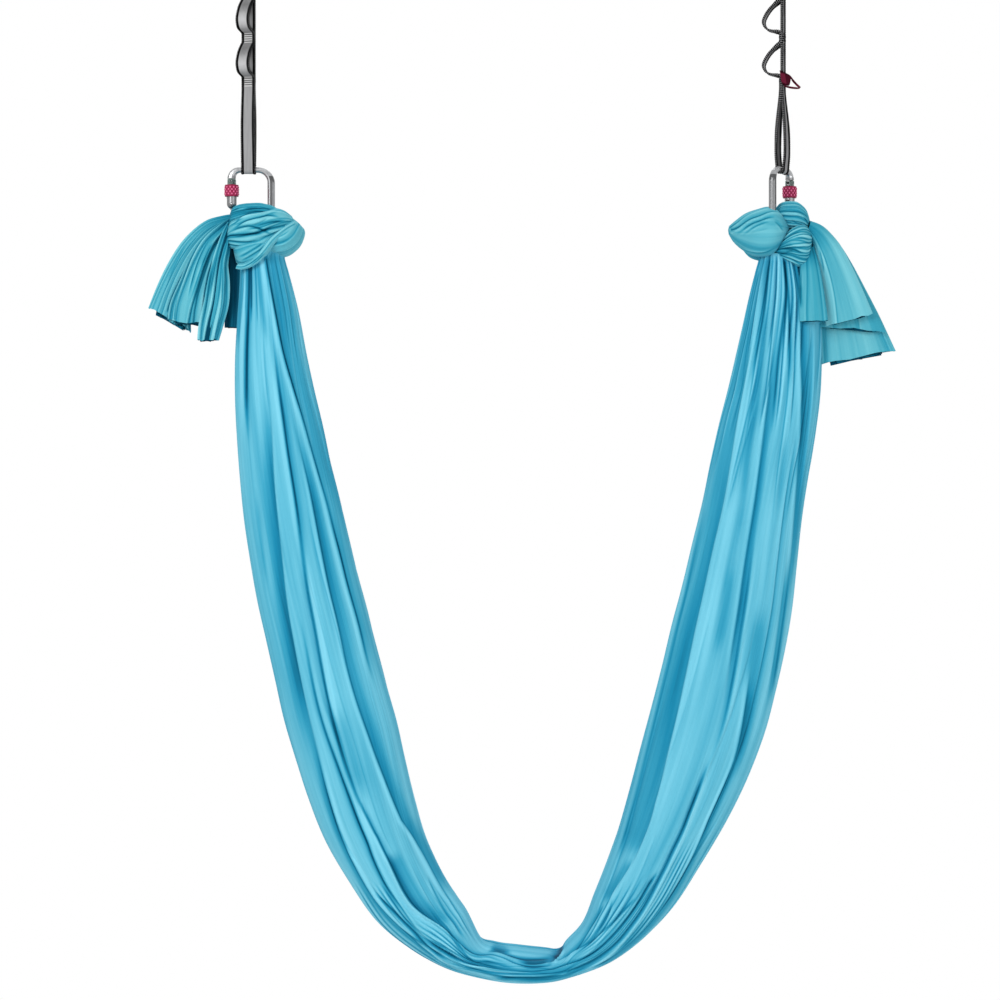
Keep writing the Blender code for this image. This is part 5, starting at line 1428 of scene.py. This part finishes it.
class HAMMOCK_OT_sling(bpy.types.Operator):
    """Hang the gathered sling between the two knots"""

    bl_idname = "hammock.sling"
    bl_label = "Sling"

    def execute(self, context):
        sizes, colours = context.scene.hammock_sizes, context.scene.hammock_colours
        bundle = Bundle(SLING_ROWS, SLING_STATIONS, SLING_SIDES, dense=SLING_SEAT)
        bundle.folds(SLING_FOLDS, viewed=True, bold=1.4)
        bundle.folds(SEAT_FOLDS, soften=2, fade=5, viewed=True)
        bundle.spread(SLING_SPREADS)
        bundle.spread(SEAT_SPREADS, soften=2, fade=12, viewed=True)
        # The seat gets less painted shade, so that it is paler
        run = bundle.run / bundle.length
        seat = rise(*SEAT_RUN[:2], run) * (1 - rise(*SEAT_RUN[2:], run))
        bundle.shade -= SEAT_PALER * seat[:, None]
        random = np.random.default_rng(SLING_SEED)
        for count, lengths, low, high, dark, drift in SLING_FINE:
            bundle.wander(random, count, *FINE_SIZES["sling"], lengths, dark, low, high, drift)
        back_folds(bundle, random)
        cloth = Cloth()
        bundle.lay_open(cloth, INNER_RUNS)
        made = cloth.build("hung_sling")
        made.data.materials.append(cloth_finish("gathered_tricot", colours))
        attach(made, "hammock")
        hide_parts("sling")
        return {"FINISHED"}


def back_folds(bundle, random):
    """Long folds over the back of the sling, where the front view shows nothing."""
    stations = len(bundle.run)
    for k in range(BACK_FOLDS):
        length = int(random.uniform(0.18, 0.45) * stations)
        start = int(random.uniform(0, stations - length))
        angle = pi / 2 + random.uniform(0.15, 1.35)
        angle = angle + random.uniform(-0.3, 0.3) * np.linspace(0, 1, length)
        if k % 4 > 1:  # on the outer half of the back
            angle = 3 * pi - angle
        side = 0 if k % 3 == 0 else 1 if k % 2 else -1
        depth, width = random.uniform(4, 8) * MM, random.uniform(8, 15) * MM
        slope, line = random.uniform(0.4, 0.9), 0.6
        bundle.fold(np.arange(start, start + length), bundle.within(angle, BACK_MARGIN), depth,
                    side, width, slope, line, line_width(line))


class HAMMOCK_OT_knots(bpy.types.Operator):
    """Wrap the bands of the two knots round the carabiners"""

    bl_idname = "hammock.knots"
    bl_label = "Knots"

    def execute(self, context):
        tables = {"left": (LEFT_KNOT_BANDS, LEFT_KNOT_FOLDS),
                  "right": (RIGHT_KNOT_BANDS, RIGHT_KNOT_FOLDS)}
        finish = cloth_finish("knotted_tricot", context.scene.hammock_colours, KNOT_TINT)
        for side, (bands, folds) in tables.items():
            random = np.random.default_rng(KNOT_SEEDS[side])
            cloth = Cloth()
            for k, (rows, gathers, depth, width, fine, tone, dark) in enumerate(bands):
                bundle = Bundle(rows, KNOT_STATIONS, KNOT_SIDES, tone)
                bundle.gathers(random, gathers, depth * KNOT_PRESS * MM, width * MM, dark * 0.8)
                bundle.folds(folds.get(k, ()))
                bundle.wander(random, fine, *FINE_SIZES["knot"], (0.2, 0.7), dark)
                bundle.lay_closed(cloth)
            made = cloth.build("hung_" + side + "_knot", weld=True)
            made.data.materials.append(finish)
            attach(made, "hammock")
            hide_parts(side + "_knot")
        return {"FINISHED"}


class HAMMOCK_OT_tails(bpy.types.Operator):
    """Fan out the two free ends of the cloth"""

    bl_idname = "hammock.tails"
    bl_label = "Tails"

    def execute(self, context):
        root, root_shade = TAIL_ROOT
        for side, bands in (("left", LEFT_TAIL_BANDS), ("right", RIGHT_TAIL_BANDS)):
            random = np.random.default_rng(TAIL_SEEDS[side])
            cloth = Cloth()
            for rows, gathers, depth, width, fine, runs, hem, tone, dark in bands:
                bundle = Bundle(rows, TAIL_STATIONS, TAIL_SIDES, tone)
                fading = 1 - rise(0, root, bundle.run / bundle.length)
                bundle.shade += root_shade * fading[:, None]
                bundle.gathers(random, gathers, depth * MM, width * MM, dark * 0.8)
                bundle.wander(random, fine, *FINE_SIZES["tail"], (0.3, 0.8), dark)
                bundle.lay_open(cloth, runs, hem * MM, random)
            made = cloth.build("hung_" + side + "_tail")
            made.data.materials.append(bpy.data.objects["hung_" + side + "_knot"].active_material)
            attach(made, "hammock")
            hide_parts(side + "_tail")
        return {"FINISHED"}


# Panel and registration

class HAMMOCK_PT_panel(bpy.types.Panel):
    """Sizes, colours and builders of the hammock"""

    bl_idname = "HAMMOCK_PT_panel"
    bl_label = "Aerial hammock"
    bl_space_type = "VIEW_3D"
    bl_region_type = "UI"
    bl_category = "Hammock"

    def draw(self, context):
        for group in (context.scene.hammock_sizes, context.scene.hammock_colours):
            for name in group.__annotations__:
                self.layout.prop(group, name)
        for operator in OPERATORS:
            self.layout.operator(operator.bl_idname)


GROUPS = (HammockSizes, HammockColours)
OPERATORS = (HAMMOCK_OT_stage, HAMMOCK_OT_straps, HAMMOCK_OT_carabiners, HAMMOCK_OT_knots,
             HAMMOCK_OT_sling, HAMMOCK_OT_tails)


def register():
    for made in (*GROUPS, *OPERATORS, HAMMOCK_PT_panel):
        bpy.utils.register_class(made)
    bpy.types.Scene.hammock_sizes = bpy.props.PointerProperty(type=HammockSizes)
    bpy.types.Scene.hammock_colours = bpy.props.PointerProperty(type=HammockColours)


def unregister():
    del bpy.types.Scene.hammock_colours
    del bpy.types.Scene.hammock_sizes
    for made in reversed((*GROUPS, *OPERATORS, HAMMOCK_PT_panel)):
        bpy.utils.unregister_class(made)


def main():
    register()
    bpy.ops.hammock.stage()
    bpy.ops.hammock.straps()
    bpy.ops.hammock.carabiners()
    bpy.ops.hammock.knots()
    bpy.ops.hammock.sling()
    bpy.ops.hammock.tails()


if __name__ == "__main__":
    main()
